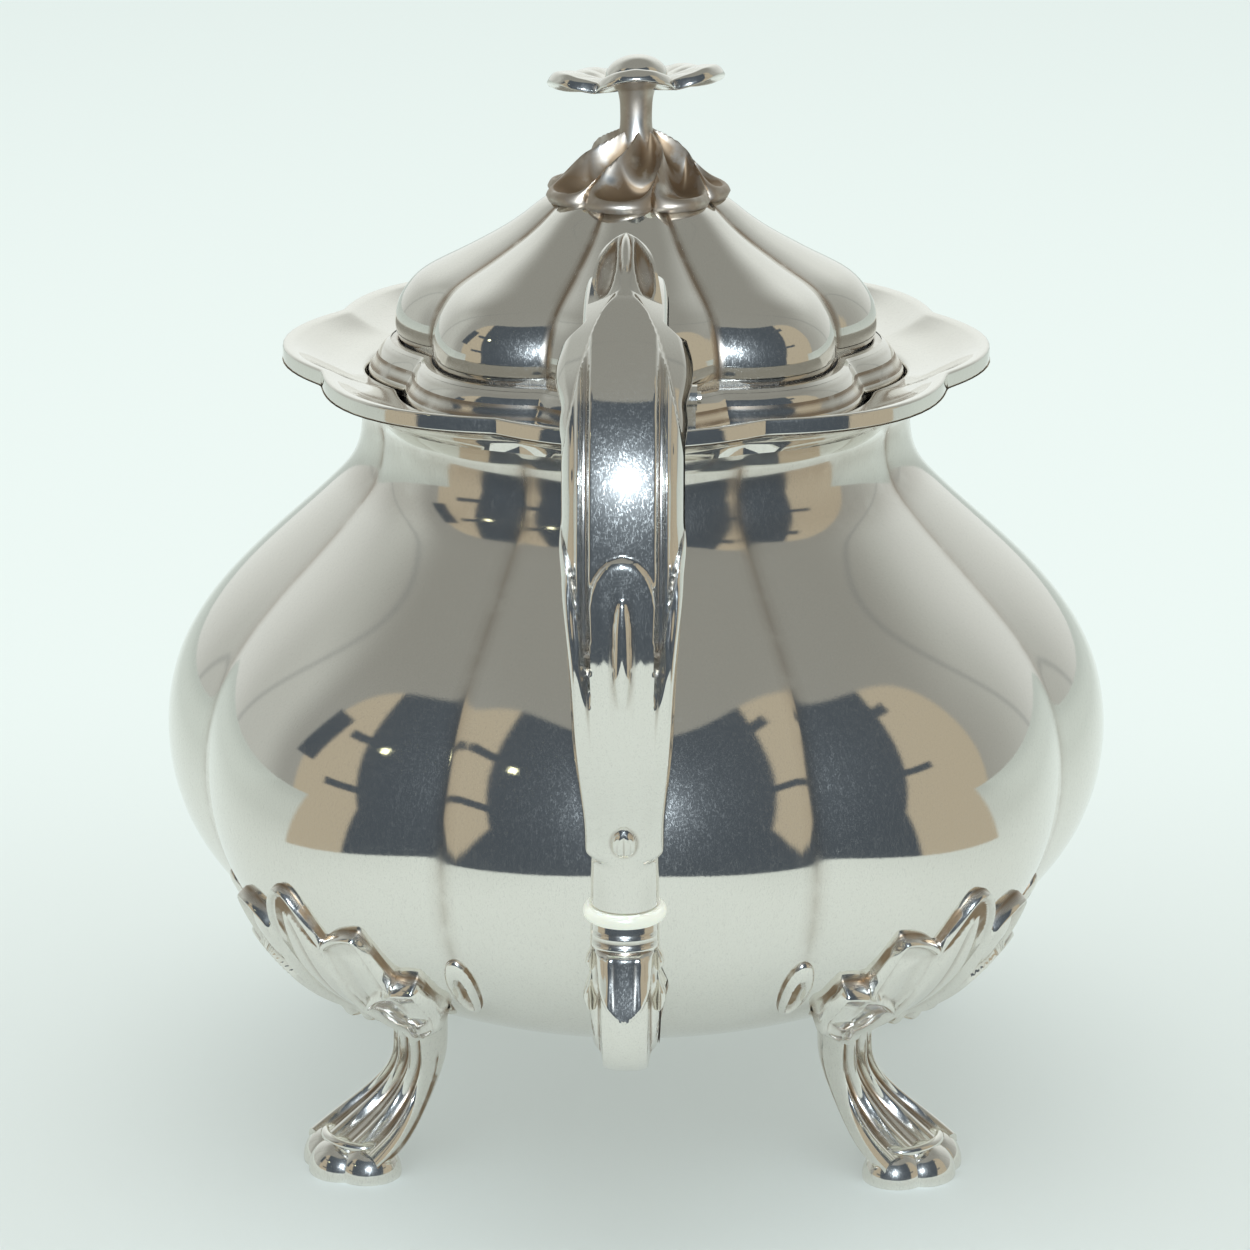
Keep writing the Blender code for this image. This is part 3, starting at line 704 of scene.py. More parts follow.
def rim_collar():
    """Low lobed wall inside the rim, narrowing upward to the foot of the lid."""
    inner = COLLAR_HIGH.x - 4.9
    top = COLLAR_HIGH.z
    corners = [
        (inner, SEAT, 0.0),
        (COLLAR_HIGH.x, SEAT, 0.0),
        (COLLAR_HIGH.x, SEAT + 1.4, 0.6),
        (COLLAR_HIGH.x - 1.0, SEAT + 2.8, 1.2),
        (COLLAR_HIGH.x - 2.2, top - 1.9, 1.6),
        (COLLAR_HIGH.x - 3.6, top - 1.0, 0.8),
        (inner, top - 1.0, 0.3),
    ]
    shape = turned_shape(rounded_outline(corners, 6), lambda z: 0.5 * (RIM_CREASE + LID_CREASE))
    make_piece("rim_collar", shape, POLISHED, name="collar_look", grime=4.0)


def lid_dome():
    """Lobed lid that swells over its foot, with folds that end under the finial."""
    base = LID_BASE - LID_DROP
    outside = smooth_curve([
        (LID_RADIUS - 0.5, base),
        (LID_RADIUS - 0.1, base + 1.3),
        (LID_RADIUS, base + 3.0),
        (37.0, 131.6),
        (35.6, 134.0),
        (34.1, 135.6),
        (31.6, 137.2),
        (28.2, 138.9),
        (24.4, 140.9),
        (20.4, 143.2),
        (17.0, 145.6),
        (14.1, 147.8),
        (8.6, 149.6),
        (1.9, LID_TOP),
    ], 110)
    inside = [(radius - 0.75, z - 0.75) for radius, z in outside]
    inside = [(radius, z) for radius, z in inside if radius > 1.9 and z > base]
    section = [(LID_RADIUS - 1.4, base)] + list(outside) + [(1.9, LID_TOP - 0.9)] + inside[::-1]
    shape = turned_shape(section, lambda z: LID_CREASE)
    make_piece("lid_dome", shape, POLISHED, name="lid_look", body="lid", grime=13.0)


# ---------------------------------------------------------------- surfaces along a path

class Station:
    """One place on a curved centre line in the YZ plane, with its outward direction."""

    def __init__(self, along, centre, outward, wide, deep):
        self.along = along
        self.y, self.z = centre
        self.out_y, self.out_z = outward
        self.wide = wide
        self.deep = deep

    def point(self, x, height):
        """A point this far across, and this far out from the centre line."""
        return (x, self.y + self.out_y * height, self.z + self.out_z * height)


def stations(points, count, side=1):
    """Stations on the smooth curve through (y, z, half width, half depth) points.

    They are evenly spread, and their outward direction is to the left of the run, or to
    its right where side is -1.
    """
    line = smooth_curve(points, count)
    along = np.concatenate([[0.0], np.cumsum(np.linalg.norm(np.diff(line[:, :2], axis=0), axis=1))])
    found = []
    for index, (y, z, wide, deep) in enumerate(line):
        run = line[min(index + 1, count - 1), :2] - line[max(index - 1, 0), :2]
        run = run / np.linalg.norm(run)
        found.append(Station(along[index], (y, z), (-side * run[1], side * run[0]), wide, deep))
    return found


def section_ring(station, front, back, front_steps=96, back_steps=28):
    """Ring across a station; front and back give the height at a share across, -1 to 1."""
    ring = []
    for step in range(front_steps):
        share = -math.cos(math.pi * step / front_steps)
        ring.append(station.point(share * station.wide, front(station, share)))
    for step in range(back_steps):
        share = math.cos(math.pi * step / back_steps)
        ring.append(station.point(share * station.wide, -back(station, share)))
    return ring


def bulge(value, centre, reach):
    """Smooth hump: 1 at the centre, 0 from `reach` away."""
    away = min(abs(value - centre) / reach, 1.0)
    return (1 - away * away) ** 2


def rounded_drop(x, y, wide, tall):
    """Height of a half egg: 1 in its middle, 0 on its outline."""
    inside = 1 - (x / wide) ** 2 - (y / tall) ** 2
    return math.sqrt(inside) if inside > 0 else 0.0


# ---------------------------------------------------------------- handle

INSULATOR_THICK = 2.0
INSULATOR_RADIUS = 5.8
TENON_RADIUS = 2.5
TENON_LENGTH = 4.0
RING_HALF = INSULATOR_THICK / 2 + GAP    # from the middle of a ring to the pieces beside it
LOWER_RING = (-97.0, 68.4)
UPPER_RING = (-60.6, 115.6)
UPPER_RING_RUN = (0.36, -0.933)

# Places along the handle, in millimetres from its lower end
NECK_END = 8.2                  # the round neck above the insulator widens here
DROP_MIDDLE = 14.2
SHEATH_VALLEY = 41.0            # the smooth lower part ends in a tongue and two side leaves
SHEATH_HALF = 8.2               # how far to each side the side leaves reach
TONGUE_TOP = 59.0
SIDE_LEAF_TOP = 62.5
EAR_MIDDLE = 83.5               # the ears stand out beside the panel's upper end
EAR_END = 89.5
PANEL_END = 93.0
PANEL_HALF = 4.25
ARCH_BEND = 0.34                # how fast the panel's arched end falls away to its sides
BEAD = 5.75                     # beads that frame the panel, from the middle
LEAF_START = 85.5               # the thumb leaf
LEAF_END = 100.6


def beside_upper_ring(side):
    """Where the handle (side -1) or the upper socket (side 1) meets the upper ring."""
    return (UPPER_RING[0] + side * UPPER_RING_RUN[0] * RING_HALF,
            UPPER_RING[1] + side * UPPER_RING_RUN[1] * RING_HALF)


def handle_stations(count):
    """Stations from the lower ring over the top of the handle to the upper ring."""
    return stations([
        (LOWER_RING[0], LOWER_RING[1] + RING_HALF, 4.8, 4.8),
        (LOWER_RING[0] - 0.4, 76.0, 5.0, 5.0),
        (-102.8, 88.0, 6.4, 4.8),
        (-110.9, 102.5, 7.6, 4.6),
        (-113.2, 120.0, 8.3, 4.6),
        (-110.5, 137.0, 8.3, 4.6),
        (-100.0, 149.5, 7.8, 4.4),
        (-86.0, 152.6, 6.8, 4.2),
        (-74.6, 146.0, 5.8, 4.2),
        (-67.2, 132.0, 5.1, 4.4),
        (*beside_upper_ring(-1), 4.8, 4.8),
    ], count)


def handle_width(along):
    """Half width of the handle's outline at this place along it."""
    width = 4.72 + 0.75 * smooth_step(along, NECK_END, NECK_END + 2.0)
    width += 1.45 * smooth_step(along, NECK_END + 2.0, SHEATH_VALLEY)
    width += 1.15 * smooth_step(along, SHEATH_VALLEY - 4.0, SIDE_LEAF_TOP - 6.0)
    width += 0.25 * bulge(along, SIDE_LEAF_TOP - 3.0, 4.0)
    width += 0.95 * bulge(along, EAR_MIDDLE, 6.0) + 0.3 * bulge(along, EAR_MIDDLE - 7.6, 3.0)
    width -= 2.3 * smooth_step(along, EAR_END - 1.2, EAR_END + 0.8)
    width -= 1.0 * smooth_step(along, EAR_END + 6.0, EAR_END + 34.0)
    return width


def oval(station, share, power=2.0):
    return station.deep * max(1 - abs(share) ** power, 0.0) ** (1 / power)


def panel_relief(x):
    """Height of the framed panel: flat panel, step, groove, bead and a sloping flange."""
    away = abs(x)
    height = -0.25 * (away / PANEL_HALF) ** 2
    height -= 0.95 * smooth_step(away, PANEL_HALF, PANEL_HALF + 0.45)
    height += 0.45 * bulge(away, BEAD, 0.6)
    height -= 1.5 * smooth_step(away, BEAD + 0.2, 9.2)
    return height


def sheath_depth(x, along):
    """How far inside the outline of the smooth lower part, with its tongue and side leaves."""
    away = abs(x)
    if away < PANEL_HALF:
        edge = TONGUE_TOP - 5.5 * (1 - math.sqrt(max(1 - (away / PANEL_HALF) ** 2, 0.0)))
    else:
        share = (away - PANEL_HALF) / (SHEATH_HALF - PANEL_HALF)
        edge = SHEATH_VALLEY + (SIDE_LEAF_TOP - SHEATH_VALLEY) * share ** 0.8
    return max(edge - along, 0.0)


def sheath_carving(x, along):
    """Height of the ribs under the tongue and of the ribbed drop near the insulator."""
    spine = rounded_drop(x, along - 0.5 * (SHEATH_VALLEY + 53.0), 1.25, 7.0)
    fluted = bulge(along, 47.0, 11.0) * bulge(x, 0.0, 4.2)
    drop = rounded_drop(x, along - DROP_MIDDLE, 1.7, 3.2)
    return (0.85 * spine + 0.16 * fluted * math.cos(2 * math.pi * x / 2.7)
            + drop * (1.5 - 0.14 * math.cos(2 * math.pi * x / 0.9)))


def handle_front(station, share):
    """Round neck, then the smooth sheath over the panel, which ends in an arch and a ridge."""
    along = station.along
    x = share * station.wide
    round_front = oval(station, share)
    flat_front = oval(station, share, 4.5)
    flatness = smooth_step(along, NECK_END - 1.0, NECK_END + 3.0)
    height = round_front + (flat_front - round_front) * flatness
    framed = smooth_step(along, SHEATH_VALLEY - 6.0, SHEATH_VALLEY + 4.0)
    framed *= 1 - smooth_step(along, EAR_END + 4.0, EAR_END + 30.0)
    panel = smooth_step(PANEL_END - x * x * ARCH_BEND - along, -0.25, 0.5)
    ridge = 0.7 - 0.62 * math.hypot(x, 0.5)
    rounding = max(1 - max(abs(share) - 0.86, 0.0) ** 2 / 0.14 ** 2, 0.0) ** 0.5
    face = station.deep + 1.6 + panel_relief(x) * panel + (1 - panel) * ridge
    height += (face * rounding - 1.6 - height) * framed
    depth = sheath_depth(x, along)
    if depth > 0:
        lip = rounded_wall(depth, 1.5)
        lip *= smooth_step(along, NECK_END + 2.0, SHEATH_VALLEY - 6.0)
        swell = smooth_step(depth, 0.0, 9.0)
        smooth_low = (station.deep + 0.3 - 0.55 * (x / 6.0) ** 2) * rounding
        low = max(height, height * (1 - swell) + smooth_low * swell)
        height += (low + 0.9 - height) * lip
    return height + sheath_carving(x, along)


def handle_back(station, share):
    return oval(station, share, 2.0 + 0.8 * smooth_step(station.along, 10.0, 40.0))


def handle_scroll():
    """Curved handle with its round neck, sheath, framed panel and ears."""
    line = handle_stations(520)
    for station in line:
        station.wide = handle_width(station.along)
    shape = lofted([section_ring(station, handle_front, handle_back) for station in line])
    make_piece("handle_scroll", shape, POLISHED, name="handle_look", sharp=70.0)


def thumb_leaf():
    """Scooped leaf that rises from the panel's arched end, with a bud between two hollows."""
    foot = [s for s in handle_stations(520) if LEAF_START < s.along < LEAF_END]
    rows = []
    for index, station in enumerate(foot):
        share = index / (len(foot) - 1)
        wide = 5.6 * (1 - share ** 3) ** 0.5 * (1 - 0.1 * share) + 0.02
        past_arch = station.along - PANEL_END + 1.5
        rise = 4.4 * max(past_arch / 9.0, 0.0) ** 1.25 + 0.5 * min(past_arch, 0.0) - 0.35
        slope = 0.6 * (1 - smooth_step(share, 0.45, 0.85))

        def top(x):
            hollow = rounded_drop(abs(x) / wide - 0.58, share - 0.72, 0.3, 0.22)
            bud = rounded_drop(x, (share - 0.80) * 13.0, 0.7, 2.2)
            edge = 0.5 * smooth_step(share, 0.1, 0.5) * (1 - abs(x / wide) ** 4)
            return station.deep + rise + edge - slope * math.hypot(x, 0.4) - hollow + 0.7 * bud

        thick = 0.9 + 1.6 * (1 - share) ** 2
        ring = []
        for step in range(72):
            x = -math.cos(math.pi * step / 72) * wide
            ring.append(station.point(x, top(x)))
        for step in range(24):
            x = math.cos(math.pi * step / 24) * wide
            ring.append(station.point(x, top(x) - thick * math.sqrt(1 - (x / wide) ** 2) - 0.05))
        rows.append(ring)
    make_piece("thumb_leaf", lofted(rows), CAST, sharp=70.0, grime=6.0)


def insulator(node, centre, run):
    """Ivory disc with a full rounded edge, and the tenons that enter handle and socket."""
    half = INSULATOR_THICK / 2
    bulging = half - 0.2
    outline = [(0.01, -half - TENON_LENGTH), (TENON_RADIUS, -half - TENON_LENGTH),
               (TENON_RADIUS, -half)]
    for step in range(17):
        turn = math.pi * (step / 16 - 0.5)
        outline.append((INSULATOR_RADIUS - bulging + bulging * math.cos(turn),
                        half * math.sin(turn)))
    outline += [(TENON_RADIUS, half), (TENON_RADIUS, half + TENON_LENGTH),
                (0.01, half + TENON_LENGTH)]
    across = (run[1], -run[0])
    rings = []
    for reach, along in outline:
        ring = []
        for turn in full_turn(64):
            out = reach * math.sin(turn)
            ring.append((reach * math.cos(turn), centre[0] + run[0] * along + across[0] * out,
                         centre[1] + run[1] * along + across[1] * out))
        rings.append(ring)
    make_piece(node, lofted(rings), IVORY)


# ---------------------------------------------------------------- sockets

SOCKET_LEAF_TOP = 3.6           # the leaf on the front of the lower socket
SOCKET_LEAF_END = 11.6


def socket_front(station, share):
    """Front of the lower socket: ringed tube, then a leaf that laps over a rounded strap."""
    along = station.along
    x = share * station.wide
    height = oval(station, share, 2.0 + 1.0 * smooth_step(along, 6.0, 12.0))
    height += 0.22 * bulge(along, 1.7, 0.5) + 0.25 * bulge(along, 3.1, 0.5)
    strap = smooth_step(along, 8.0, 12.0) * (1 - smooth_step(along, 44.0, 50.0))
    height -= strap * 2.1 * smooth_step(abs(x), 3.1, 3.6)
    past = along - SOCKET_LEAF_TOP
    tongue = SOCKET_LEAF_END - along
    if past < 0 or tongue <= 0:
        return height
    half = (4.1 - 0.1 * past) * rounded_wall(tongue, 3.4)
    depth = min(half - abs(x), past)
    if depth > 0:
        proud = 0.9 + 0.034 * past ** 2 + 0.25 * bulge(abs(x), 2.2, 0.7)
        height += rounded_wall(depth, 0.9) * proud
    return height


def socket_back(station, share):
    return oval(station, share, 2.4)


def side_leaf(shape, line, side, start, length, reach):
    """Small curled leaf on the side of the socket, from `start` along it."""
    part = [s for s in line if start <= s.along <= start + length]
    rows = []
    for index, station in enumerate(part):
        share = index / (len(part) - 1)
        stand = reach * (math.sin(math.pi * share ** 1.7)) + 0.05
        wide = 3.4 * (1 - share) ** 0.5 * (0.25 + share) + 0.05
        ring = []
        for turn in full_turn(16):
            x = side * (station.wide - 0.5 + stand * (0.5 + 0.5 * math.cos(turn)))
            ring.append(station.point(x, 0.8 + wide * math.sin(turn)))
        rows.append(ring)
    shape.loft(rows)


def lower_socket():
    """Leaf-wrapped socket that carries the handle's lower end, with its small side leaves."""
    line = stations([
        (LOWER_RING[0], LOWER_RING[1] - RING_HALF, 4.75, 4.75),
        (LOWER_RING[0] - 0.2, 58.0, 5.0, 5.0),
        (-95.6, 51.2, 5.0, 4.6),
        (-89.2, 44.9, 4.7, 3.9),
        (-78.0, 44.0, 4.9, 4.2),
        (-67.0, 46.4, 6.4, 5.8),
    ], 200, side=-1)
    shape = lofted([section_ring(station, socket_front, socket_back, 72, 24) for station in line])
    for side in (-1, 1):
        side_leaf(shape, line, side, 2.6, 4.8, 1.0)
        side_leaf(shape, line, side, 5.6, 8.0, 1.2)
    make_piece("lower_socket", shape, CAST, sharp=60.0, grime=4.0)


def upper_socket():
    """Plain ringed socket behind the handle's upper end."""
    line = stations([
        (*beside_upper_ring(1), 4.75, 4.75),
        (-57.6, 108.0, 5.0, 4.9),
        (-53.5, 102.0, 5.6, 5.2),
        (-44.5, 97.0, 7.4, 6.8),
    ], 80)

    def ringed(station, share):
        return oval(station, share) + 0.35 * bulge(station.along, 2.6, 0.9)

    shape = lofted([section_ring(station, ringed, ringed, 40, 40) for station in line])
    make_piece("upper_socket", shape, CAST, sharp=60.0)


# ---------------------------------------------------------------- relief on the vessel

def relief_patch(shape, angles, bottom, top, lift, rows=60, stained_below=0.0):
    """Closed relief on the vessel between two outlines; lift(angle, z) is its height.

    The foot of its walls, where it stands less than `stained_below` proud, is tarnished.
    """
    outside = []
    place = len(shape.points)
    for angle in angles:
        low, high = bottom(angle), top(angle)
        heights = [lift(angle, low + (high - low) * row / rows) for row in range(rows + 1)]
        column = [on_body(angle, low, -0.4)]
        for row, height in enumerate(heights):
            column.append(on_body(angle, low + (high - low) * row / rows, height))
            if height < stained_below:
                shape.stained.append(place + row + 1)
        column.append(on_body(angle, high, -0.4))
        place += len(column)
        outside.append(column)
    shape.grid(outside, closed=False)


def crease_drop(number, middle):
    """Small teardrop ring at the lower end of the fold at this angle."""
    half_angle = math.radians(2.1)
    centre_z = 40.85
    half_height = 5.55

    def outline(angle, sign):
        share = min(abs(angle - middle) / half_angle, 1.0)
        return centre_z + sign * half_height * math.sqrt(1 - share * share)

    def lift(angle, z):
        across = (angle - middle) / half_angle
        up = (z - centre_z) / half_height
        body = 1.25 * math.sqrt(max(1 - math.hypot(across, up) ** 4, 0.0))
        return body - 1.15 * rounded_drop(across, up + 0.12, 0.5, 0.62)

    angles = [middle + half_angle * math.sin(math.pi * (step / 36 - 0.5)) for step in range(37)]
    shape = Shape()
    relief_patch(shape, angles, lambda a: outline(a, -1), lambda a: outline(a, 1), lift, 48, 0.4)
    make_piece("crease_drop_%d" % number, shape, CAST)


# Each petal of a foot's leaf: angle and height of its tip, how fast its outline falls
# toward the middle and away from it, the angle where it starts, and how proud it stands
PETALS = (
    (0.0, 54.2, 0.37, 0.37, 0.0, 0.0),
    (10.3, 49.3, 0.10, 1.30, 4.4, 0.55),
    (16.0, 41.2, 0.05, 2.50, 7.0, 1.1),
)
DEGREE_LENGTH = 1.1             # millimetres along the vessel for one degree, near the feet


def petal_edge(petal, away):
    """Height of the petal's outline at this many degrees from the middle of the foot."""
    tip, high, inner, outer = petal[:4]
    fall = inner if away < tip else outer
    return high - fall * (away - tip) ** 2


def petal_height(petal, away, z):
    """Height of one petal's face over the vessel, or 0 outside its outline."""
    tip, _, inner, outer, start, proud = petal
    if away < start:
        return 0.0
    fall = inner if away < tip else outer
    slope = 2 * fall * (away - tip) / DEGREE_LENGTH
    depth = (petal_edge(petal, away) - z) / math.hypot(1.0, slope)
    if start > 0:
        depth = min(depth, (away - start) * DEGREE_LENGTH)
    if depth <= 0:
        return 0.0
    root = 1.0 + 2.4 * smooth_step(47.0 - z, 0.0, 15.0) * (1 - (away / 21.0) ** 2)
    rim = 0.45 * bulge(depth, 0.6, 0.75)
    scoop = 0.5 * bulge(depth, 3.0, 2.6)
    return rounded_wall(depth, 0.6) * (root + proud + rim - scoop)


def foot_leaf(number, middle):
    """Leaf mount: one tall petal with two shorter ones lapped over it on each side."""
    reach = 17.7

    def away_from(angle):
        return abs(math.degrees(angle - middle))

    def top(angle):
        away = away_from(angle)
        return max(petal_edge(petal, away) for petal in PETALS if away >= petal[4])

    def bottom(angle):
        return 27.6 + 0.022 * away_from(angle) ** 2

    def lift(angle, z):
        away = away_from(angle)
        height = max(petal_height(petal, away, z) for petal in PETALS)
        rim = bulge(z, bottom(angle) + 1.1, 1.3) * 1.0
        vein = 0.25 * bulge(away, 0.0, 0.7) if z < 50 else 0.0
        return height + rim - vein

    steps = 150
    angles = [middle + math.radians(reach * (2 * step / steps - 1)) for step in range(steps + 1)]
    shape = Shape()
    relief_patch(shape, angles, bottom, lambda a: max(top(a), bottom(a) + 0.5), lift, 90, 0.7)
    make_piece("foot_leaf_%d" % number, shape, CAST, sharp=70.0, grime=2.2)


# ---------------------------------------------------------------- legs

def leg_front(station, share):
    """Outer face of a leg, with four ribs and hollow channels between them."""
    fade = smooth_step(station.along, 0.0, 3.0)
    ribs = max(bulge(abs(share), 0.32, 0.27), bulge(abs(share), 0.86, 0.25))
    return oval(station, share, 3.6) - 1.1 * fade * (1 - ribs)


def leg_back(station, share):
    return oval(station, share, 2.2)


def egg(shape, centre, sizes, yaw):
    """Smooth egg-shaped lobe of a toe; the local axes are across, outward and up."""
    rows = []
    for ring in range(1, 24):
        tilt = math.pi * ring / 24
        row = []
        for turn in full_turn(40):
            x = sizes[0] * math.sin(tilt) * math.cos(turn)
            out = sizes[1] * math.cos(tilt)
            up = sizes[2] * math.sin(tilt) * math.sin(turn)
            across = x * math.cos(yaw) - out * math.sin(yaw)
            reach = x * math.sin(yaw) + out * math.cos(yaw)
            row.append((centre[0] + across, -(centre[1] + reach), max(centre[2] + up, 0.02)))
        rows.append(row)
    shape.loft(rows)


TOE_MIDDLE = 53.4               # where the toe's lobes fan out from, off the pot's axis
TOE_REACH = 9.4
TOE_LOBE = (5.1, 4.7, 4.9)      # half sizes of a lobe across, outward and up
TOE_SPREAD = 58.0               # degrees between the lobes
LEG_LEAN = 6.4                  # how far the toe stands toward the pot's side


def toe_strip(shape):
    """Raised strip over the toe, where the ribs of the leg end."""
    rings = []
    for step in range(49):
        turn = math.radians(105.0) * (step / 24 - 1)
        x, out = 6.3 * math.sin(turn), TOE_MIDDLE + 5.9 * math.cos(turn)
        thick = 0.85 * math.cos(0.8 * turn) ** 0.5
        middle = 4.3 + 0.7 * math.cos(turn)
        ring = []
        for roll in full_turn(16):
            grow = thick * math.cos(roll)
            ring.append((x + grow * math.sin(turn), -(out + grow * math.cos(turn)),
                         middle + thick * math.sin(roll)))
        rings.append(ring)
    shape.loft(rings)


def foot_leg(number, middle):
    """Slim fluted leg that spreads to a toe of three lobes, leaning toward the pot's side."""
    line = stations([
        (-46.5, 29.0, 4.0, 4.0),
        (-46.1, 22.5, 3.9, 3.8),
        (-44.9, 17.0, 4.2, 3.5),
        (-45.7, 11.5, 5.2, 3.3),
        (-48.9, 7.2, 6.8, 3.2),
        (-53.4, 4.4, 8.0, 2.9),
        (-57.8, 2.9, 8.3, 2.3),
    ], 110, side=-1)
    local = lofted([section_ring(station, leg_front, leg_back, 110, 24) for station in line])
    reach = TOE_REACH - 4.3
    for side in (-1, 0, 1):
        turn = math.radians(side * TOE_SPREAD)
        egg(local, (reach * math.sin(turn), TOE_MIDDLE + reach * math.cos(turn), 0.5),
            TOE_LOBE, -turn)
    toe_strip(local)
    shape = Shape()
    shape.faces = local.faces
    cos, sin = math.cos(middle), math.sin(middle)
    lean = LEG_LEAN * math.sin(2 * middle)
    for x, y, z in local.points:
        x += lean * smooth_step(26.0 - z, 0.0, 22.0)
        shape.points.append((x * cos - y * sin, x * sin + y * cos, max(z, 0.0)))
    make_piece("foot_leg_%d" % number, shape, CAST, sharp=60.0, grime=3.0)


# ---------------------------------------------------------------- spout

SPOUT_TIP = (114.1, 118.0)
LIP_RADIUS = 5.5
LIP_ROLL = 0.75                 # radius of the bead round the mouth


def spout_stations(count):
    return stations([
        (70.0, 57.0, 13.4, 16.4),
        (76.0, 59.4, 12.3, 15.2),
        (84.0, 64.5, 10.9, 12.8),
        (93.0, 74.0, 8.6, 9.6),
        (99.0, 86.5, 6.9, 7.4),
        (102.4, 99.5, 6.0, 6.2),
        (SPOUT_TIP[0] - 7.0, SPOUT_TIP[1] - 8.5, 5.6, 5.6),
        (SPOUT_TIP[0] - 0.8, SPOUT_TIP[1] - 0.2, 5.9, 5.9),
    ], count)


def spout():
    """Curved spout with soft flutes at its root; its turned-out lip is built by spout_lip."""
    line = spout_stations(120)
    outside = []
    inside = []
    for station in line:
        flute = 0.05 * (1 - smooth_step(station.along, 14.0, 46.0))
        ring = []
        bore = []
        for turn in full_turn(96):
            reach = 1 + flute * (abs(math.cos(4 * turn)) - 1)
            ring.append(station.point(station.wide * reach * math.cos(turn),
                                      station.deep * reach * math.sin(turn)))
            bore.append(station.point((station.wide - WALL) * math.cos(turn),
                                      (station.deep - WALL) * math.sin(turn)))
        outside.append(ring)
        inside.append(bore)
    make_piece("spout", wrapped(outside + inside[::-1]), POLISHED)


def spout_lip():
    """Rounded bead round the mouth of the spout."""
    end = spout_stations(120)[-1]
    run_y, run_z = end.out_z, -end.out_y
    rows = []
    for turn in full_turn(72):
        row = []
        for roll in full_turn(16):
            reach = LIP_RADIUS + LIP_ROLL * math.cos(roll)
            along = LIP_ROLL * math.sin(roll) - 0.2
            x, y, z = end.point(reach * math.cos(turn), reach * math.sin(turn))
            row.append((x, y + run_y * along, z + run_z * along))
        rows.append(row)
    make_piece("spout_lip", wrapped(rows), POLISHED)


def spout_root_leaf():
    """Scalloped leaf border on the vessel round the root of the spout."""
    middle_z = 59.0
    rows = []
    for turn in full_turn(192):
        scallop = 1 + 0.055 * abs(math.cos(6 * turn))
        row = []
        for share, height in ((0.0, -0.3), (0.0, 1.4), (0.12, 1.9), (0.3, 1.5), (0.55, 1.2),
                              (0.8, 1.5), (0.93, 1.4), (1.0, 0.9), (1.0, -0.3)):
            wide = 12.6 + (4.6 * scallop) * share
            tall = 15.2 + (5.2 * scallop) * share
            x = wide * math.cos(turn)
            z = middle_z + tall * math.sin(turn)
            angle = math.pi - math.atan2(x, math.sqrt(max(body_radius(z) ** 2 - x * x, 1.0)))
            row.append(on_body(angle, z, height))
        rows.append(row)
    make_piece("spout_root_leaf", wrapped(rows), CAST)


# ---------------------------------------------------------------- finial

CALYX_TOP = LID_TOP + 8.4
CALYX_REACH = 14.6
CALYX_LEAVES = 7
PETAL_COUNT = 5
FLOWER_REACH = 13.9
# Height of a leaf over the calyx's foot, from the stem (0) to its end (1)
LEAF_MIDDLE = smooth_curve([(0.0, 10.3), (0.2, 5.6), (0.45, 2.3), (0.7, 1.2), (0.86, 1.4),
                            (0.93, 1.7), (0.975, 1.3), (1.0, 0.3)], 120)
LEAF_EDGE = smooth_curve([(0.0, 10.3), (0.2, 9.2), (0.45, 7.4), (0.7, 5.3), (0.88, 3.2),
                          (0.96, 1.5), (1.0, 0.3)], 120)


def finial_calyx():
    """Cupped leaves that swirl out from the stem and rest on the lid with a rolled lip."""
    foot = LID_TOP - 1.9
    core = 2.4

    def leaves(share, turn):
        swirl = turn + math.radians(13.0) - math.radians(48.0) * (1 - share) ** 1.5
        across = (swirl * CALYX_LEAVES / (2 * math.pi) + 0.5) % 1.0 - 0.5
        tip = math.cos(math.pi * across) ** 0.45 if share > 0.3 else 1.0
        tip = 1 + (tip - 1) * smooth_step(share, 0.3, 0.9)
        radius = core + (CALYX_REACH - core) * share * (0.75 + 0.25 * tip)
        middle = look_up(LEAF_MIDDLE, share)
        edge = look_up(LEAF_EDGE, share)
        height = middle + (edge - middle) * abs(2 * across) ** 2.4
        return (around_axis(radius, turn, foot + height),
                around_axis(radius * 0.97, turn, foot - 0.2 + 1.3 * (1 - share)))

    make_piece("finial_calyx", two_sided(60, 420, leaves), AGED, body="lid",
               sharp=75.0, grime=5.0)


def finial_stem():
    """Stem that flares under the flower, on the screw that holds the finial."""
    outline = smooth_curve([(2.9, CALYX_TOP - 1.6), (2.55, CALYX_TOP), (2.45, CALYX_TOP + 2.6),
                            (2.6, CALYX_TOP + 4.8), (3.3, CALYX_TOP + 7.2)], 40)
    section = [(1.5, LID_TOP - 9.7), (1.5, CALYX_TOP - 3.0)] + list(outline)
    shape = lofted([[around_axis(radius, turn, z) for turn in full_turn(64)]
                    for radius, z in section])
    make_piece("finial_stem", shape, AGED, body="lid")


def flower_point(radius, turn, height):
    """A point of the flower, which is tipped a little toward the spout and to its left."""
    x, y, z = around_axis(radius, turn, height)
    return (x, y, z - 0.15 * y + 0.05 * x)


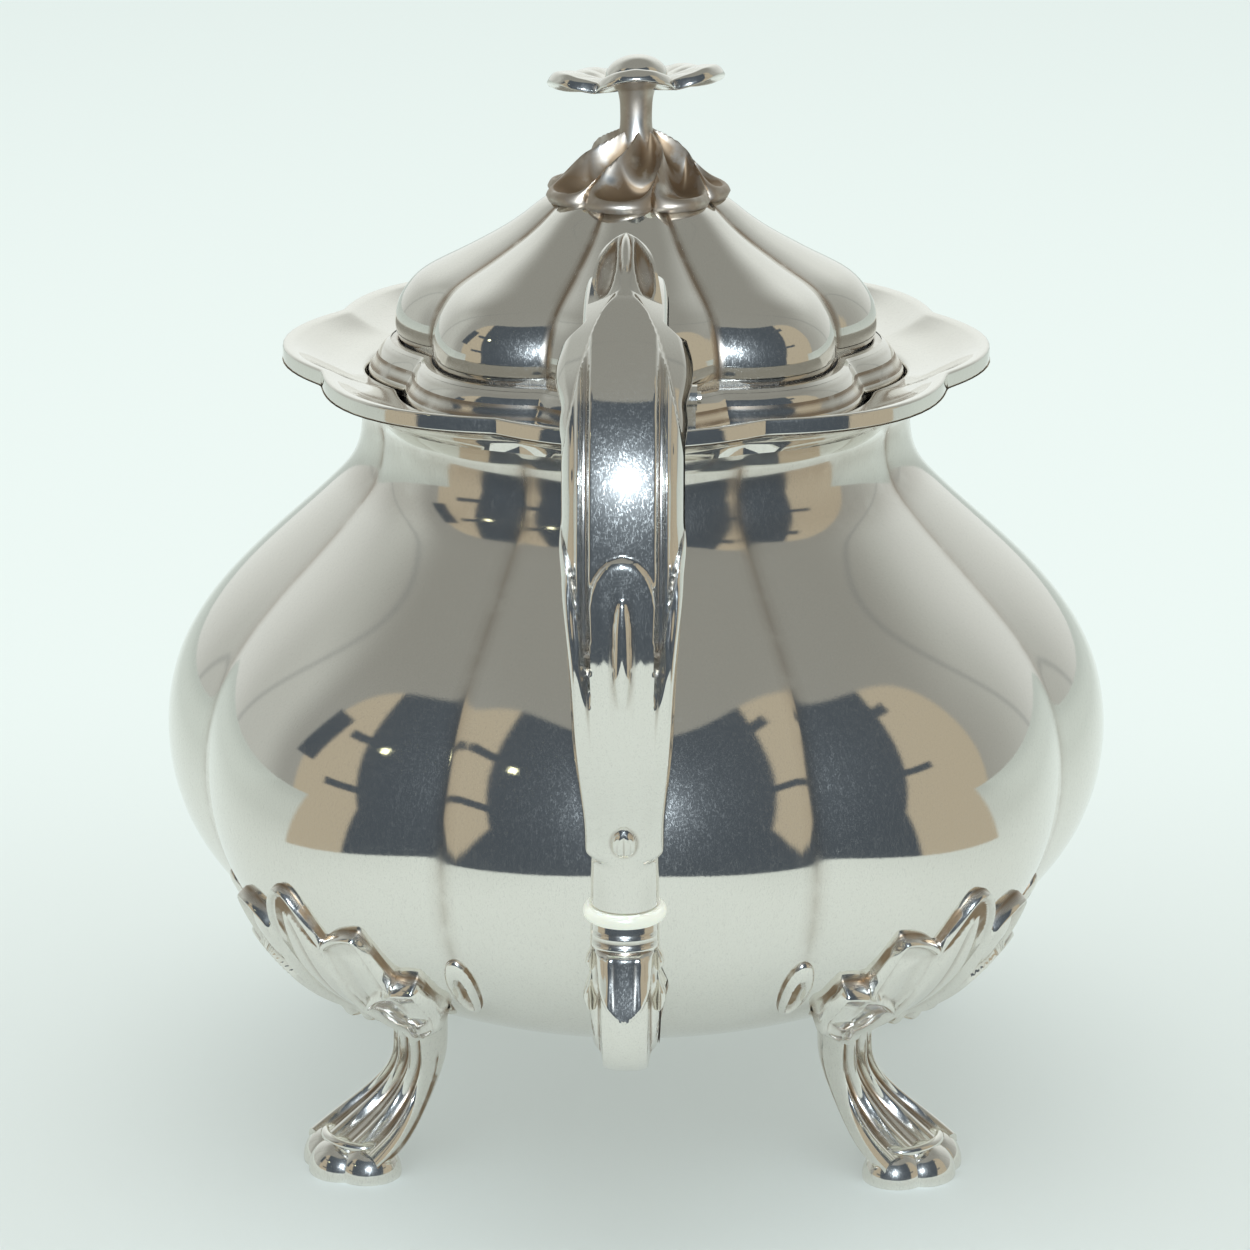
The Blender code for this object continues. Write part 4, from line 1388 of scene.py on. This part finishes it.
def finial_flower():
    """Open flower of arched, veined petals with rolled edges round a low dome."""
    heart = 4.8
    root = heart * 0.7
    middle = FINIAL_TOP - 4.2

    def petals(share, turn):
        across = (turn * PETAL_COUNT / (2 * math.pi) + 0.5) % 1.0 - 0.5
        reach = FLOWER_REACH - 3.4 * abs(2 * across) ** 2.6
        radius = root + (reach - root) * share
        arch = 1.9 * math.cos(math.pi * across) ** 1.2 * smooth_step(share, 0.0, 0.75)
        roll = 1.5 * (1 - math.sqrt(1 - smooth_step(share, 0.82, 1.0) ** 2))
        vein = 0.07 * math.cos(10 * math.pi * across) * bulge(share, 0.6, 0.4)
        return (flower_point(radius, turn, middle + 0.2 + arch - roll + vein),
                flower_point(radius * 0.99, turn, middle - 1.5 + 0.9 * arch))

    shape = two_sided(54, 300, petals)
    dome = [[flower_point(2.8, turn, middle - 1.2) for turn in full_turn(64)]]
    for ring in range(20):
        tilt = 0.5 * math.pi * ring / 19
        radius = heart * math.cos(tilt) + 0.001
        height = middle + 0.6 + 3.5 * math.sin(tilt)
        dome.append([flower_point(radius, turn, height) for turn in full_turn(64)])
    shape.loft(dome)
    make_piece("finial_flower", shape, CAST, body="lid", sharp=75.0, grime=4.0)


# ---------------------------------------------------------------- scene

def build_pot():
    body_shell()
    rim_flange()
    rim_collar()
    handle_scroll()
    thumb_leaf()
    insulator("lower_insulator", LOWER_RING, (0.0, 1.0))
    insulator("upper_insulator", UPPER_RING, UPPER_RING_RUN)
    lower_socket()
    upper_socket()
    for number in range(LOBES):
        crease_drop(number + 1, 2 * math.pi * (number + 0.5) / LOBES)
    for number, angle in enumerate(FOOT_ANGLES):
        foot_leaf(number + 1, math.radians(angle))
        foot_leg(number + 1, math.radians(angle))
    spout()
    spout_lip()
    spout_root_leaf()


def build_lid():
    lid_dome()
    finial_calyx()
    finial_stem()
    finial_flower()


def dress_frame_nodes():
    """Materials for the nodes of the frame that are shown as they are."""
    by_slot = {"polished_silver": POLISHED, "cast_silver": CAST, "inner_silver": INNER,
               "ivory": IVORY}
    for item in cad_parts.values():
        if item.hide_render:
            continue
        current = item.data.materials[0].name if item.data.materials else ""
        for slot, material in by_slot.items():
            if slot in current:
                item.data.materials[0] = material


bpy.context.scene.view_settings.view_transform = "Standard"
studio_world()
studio_floor()
studio_lights()
camera()
build_pot()
build_lid()
dress_frame_nodes()
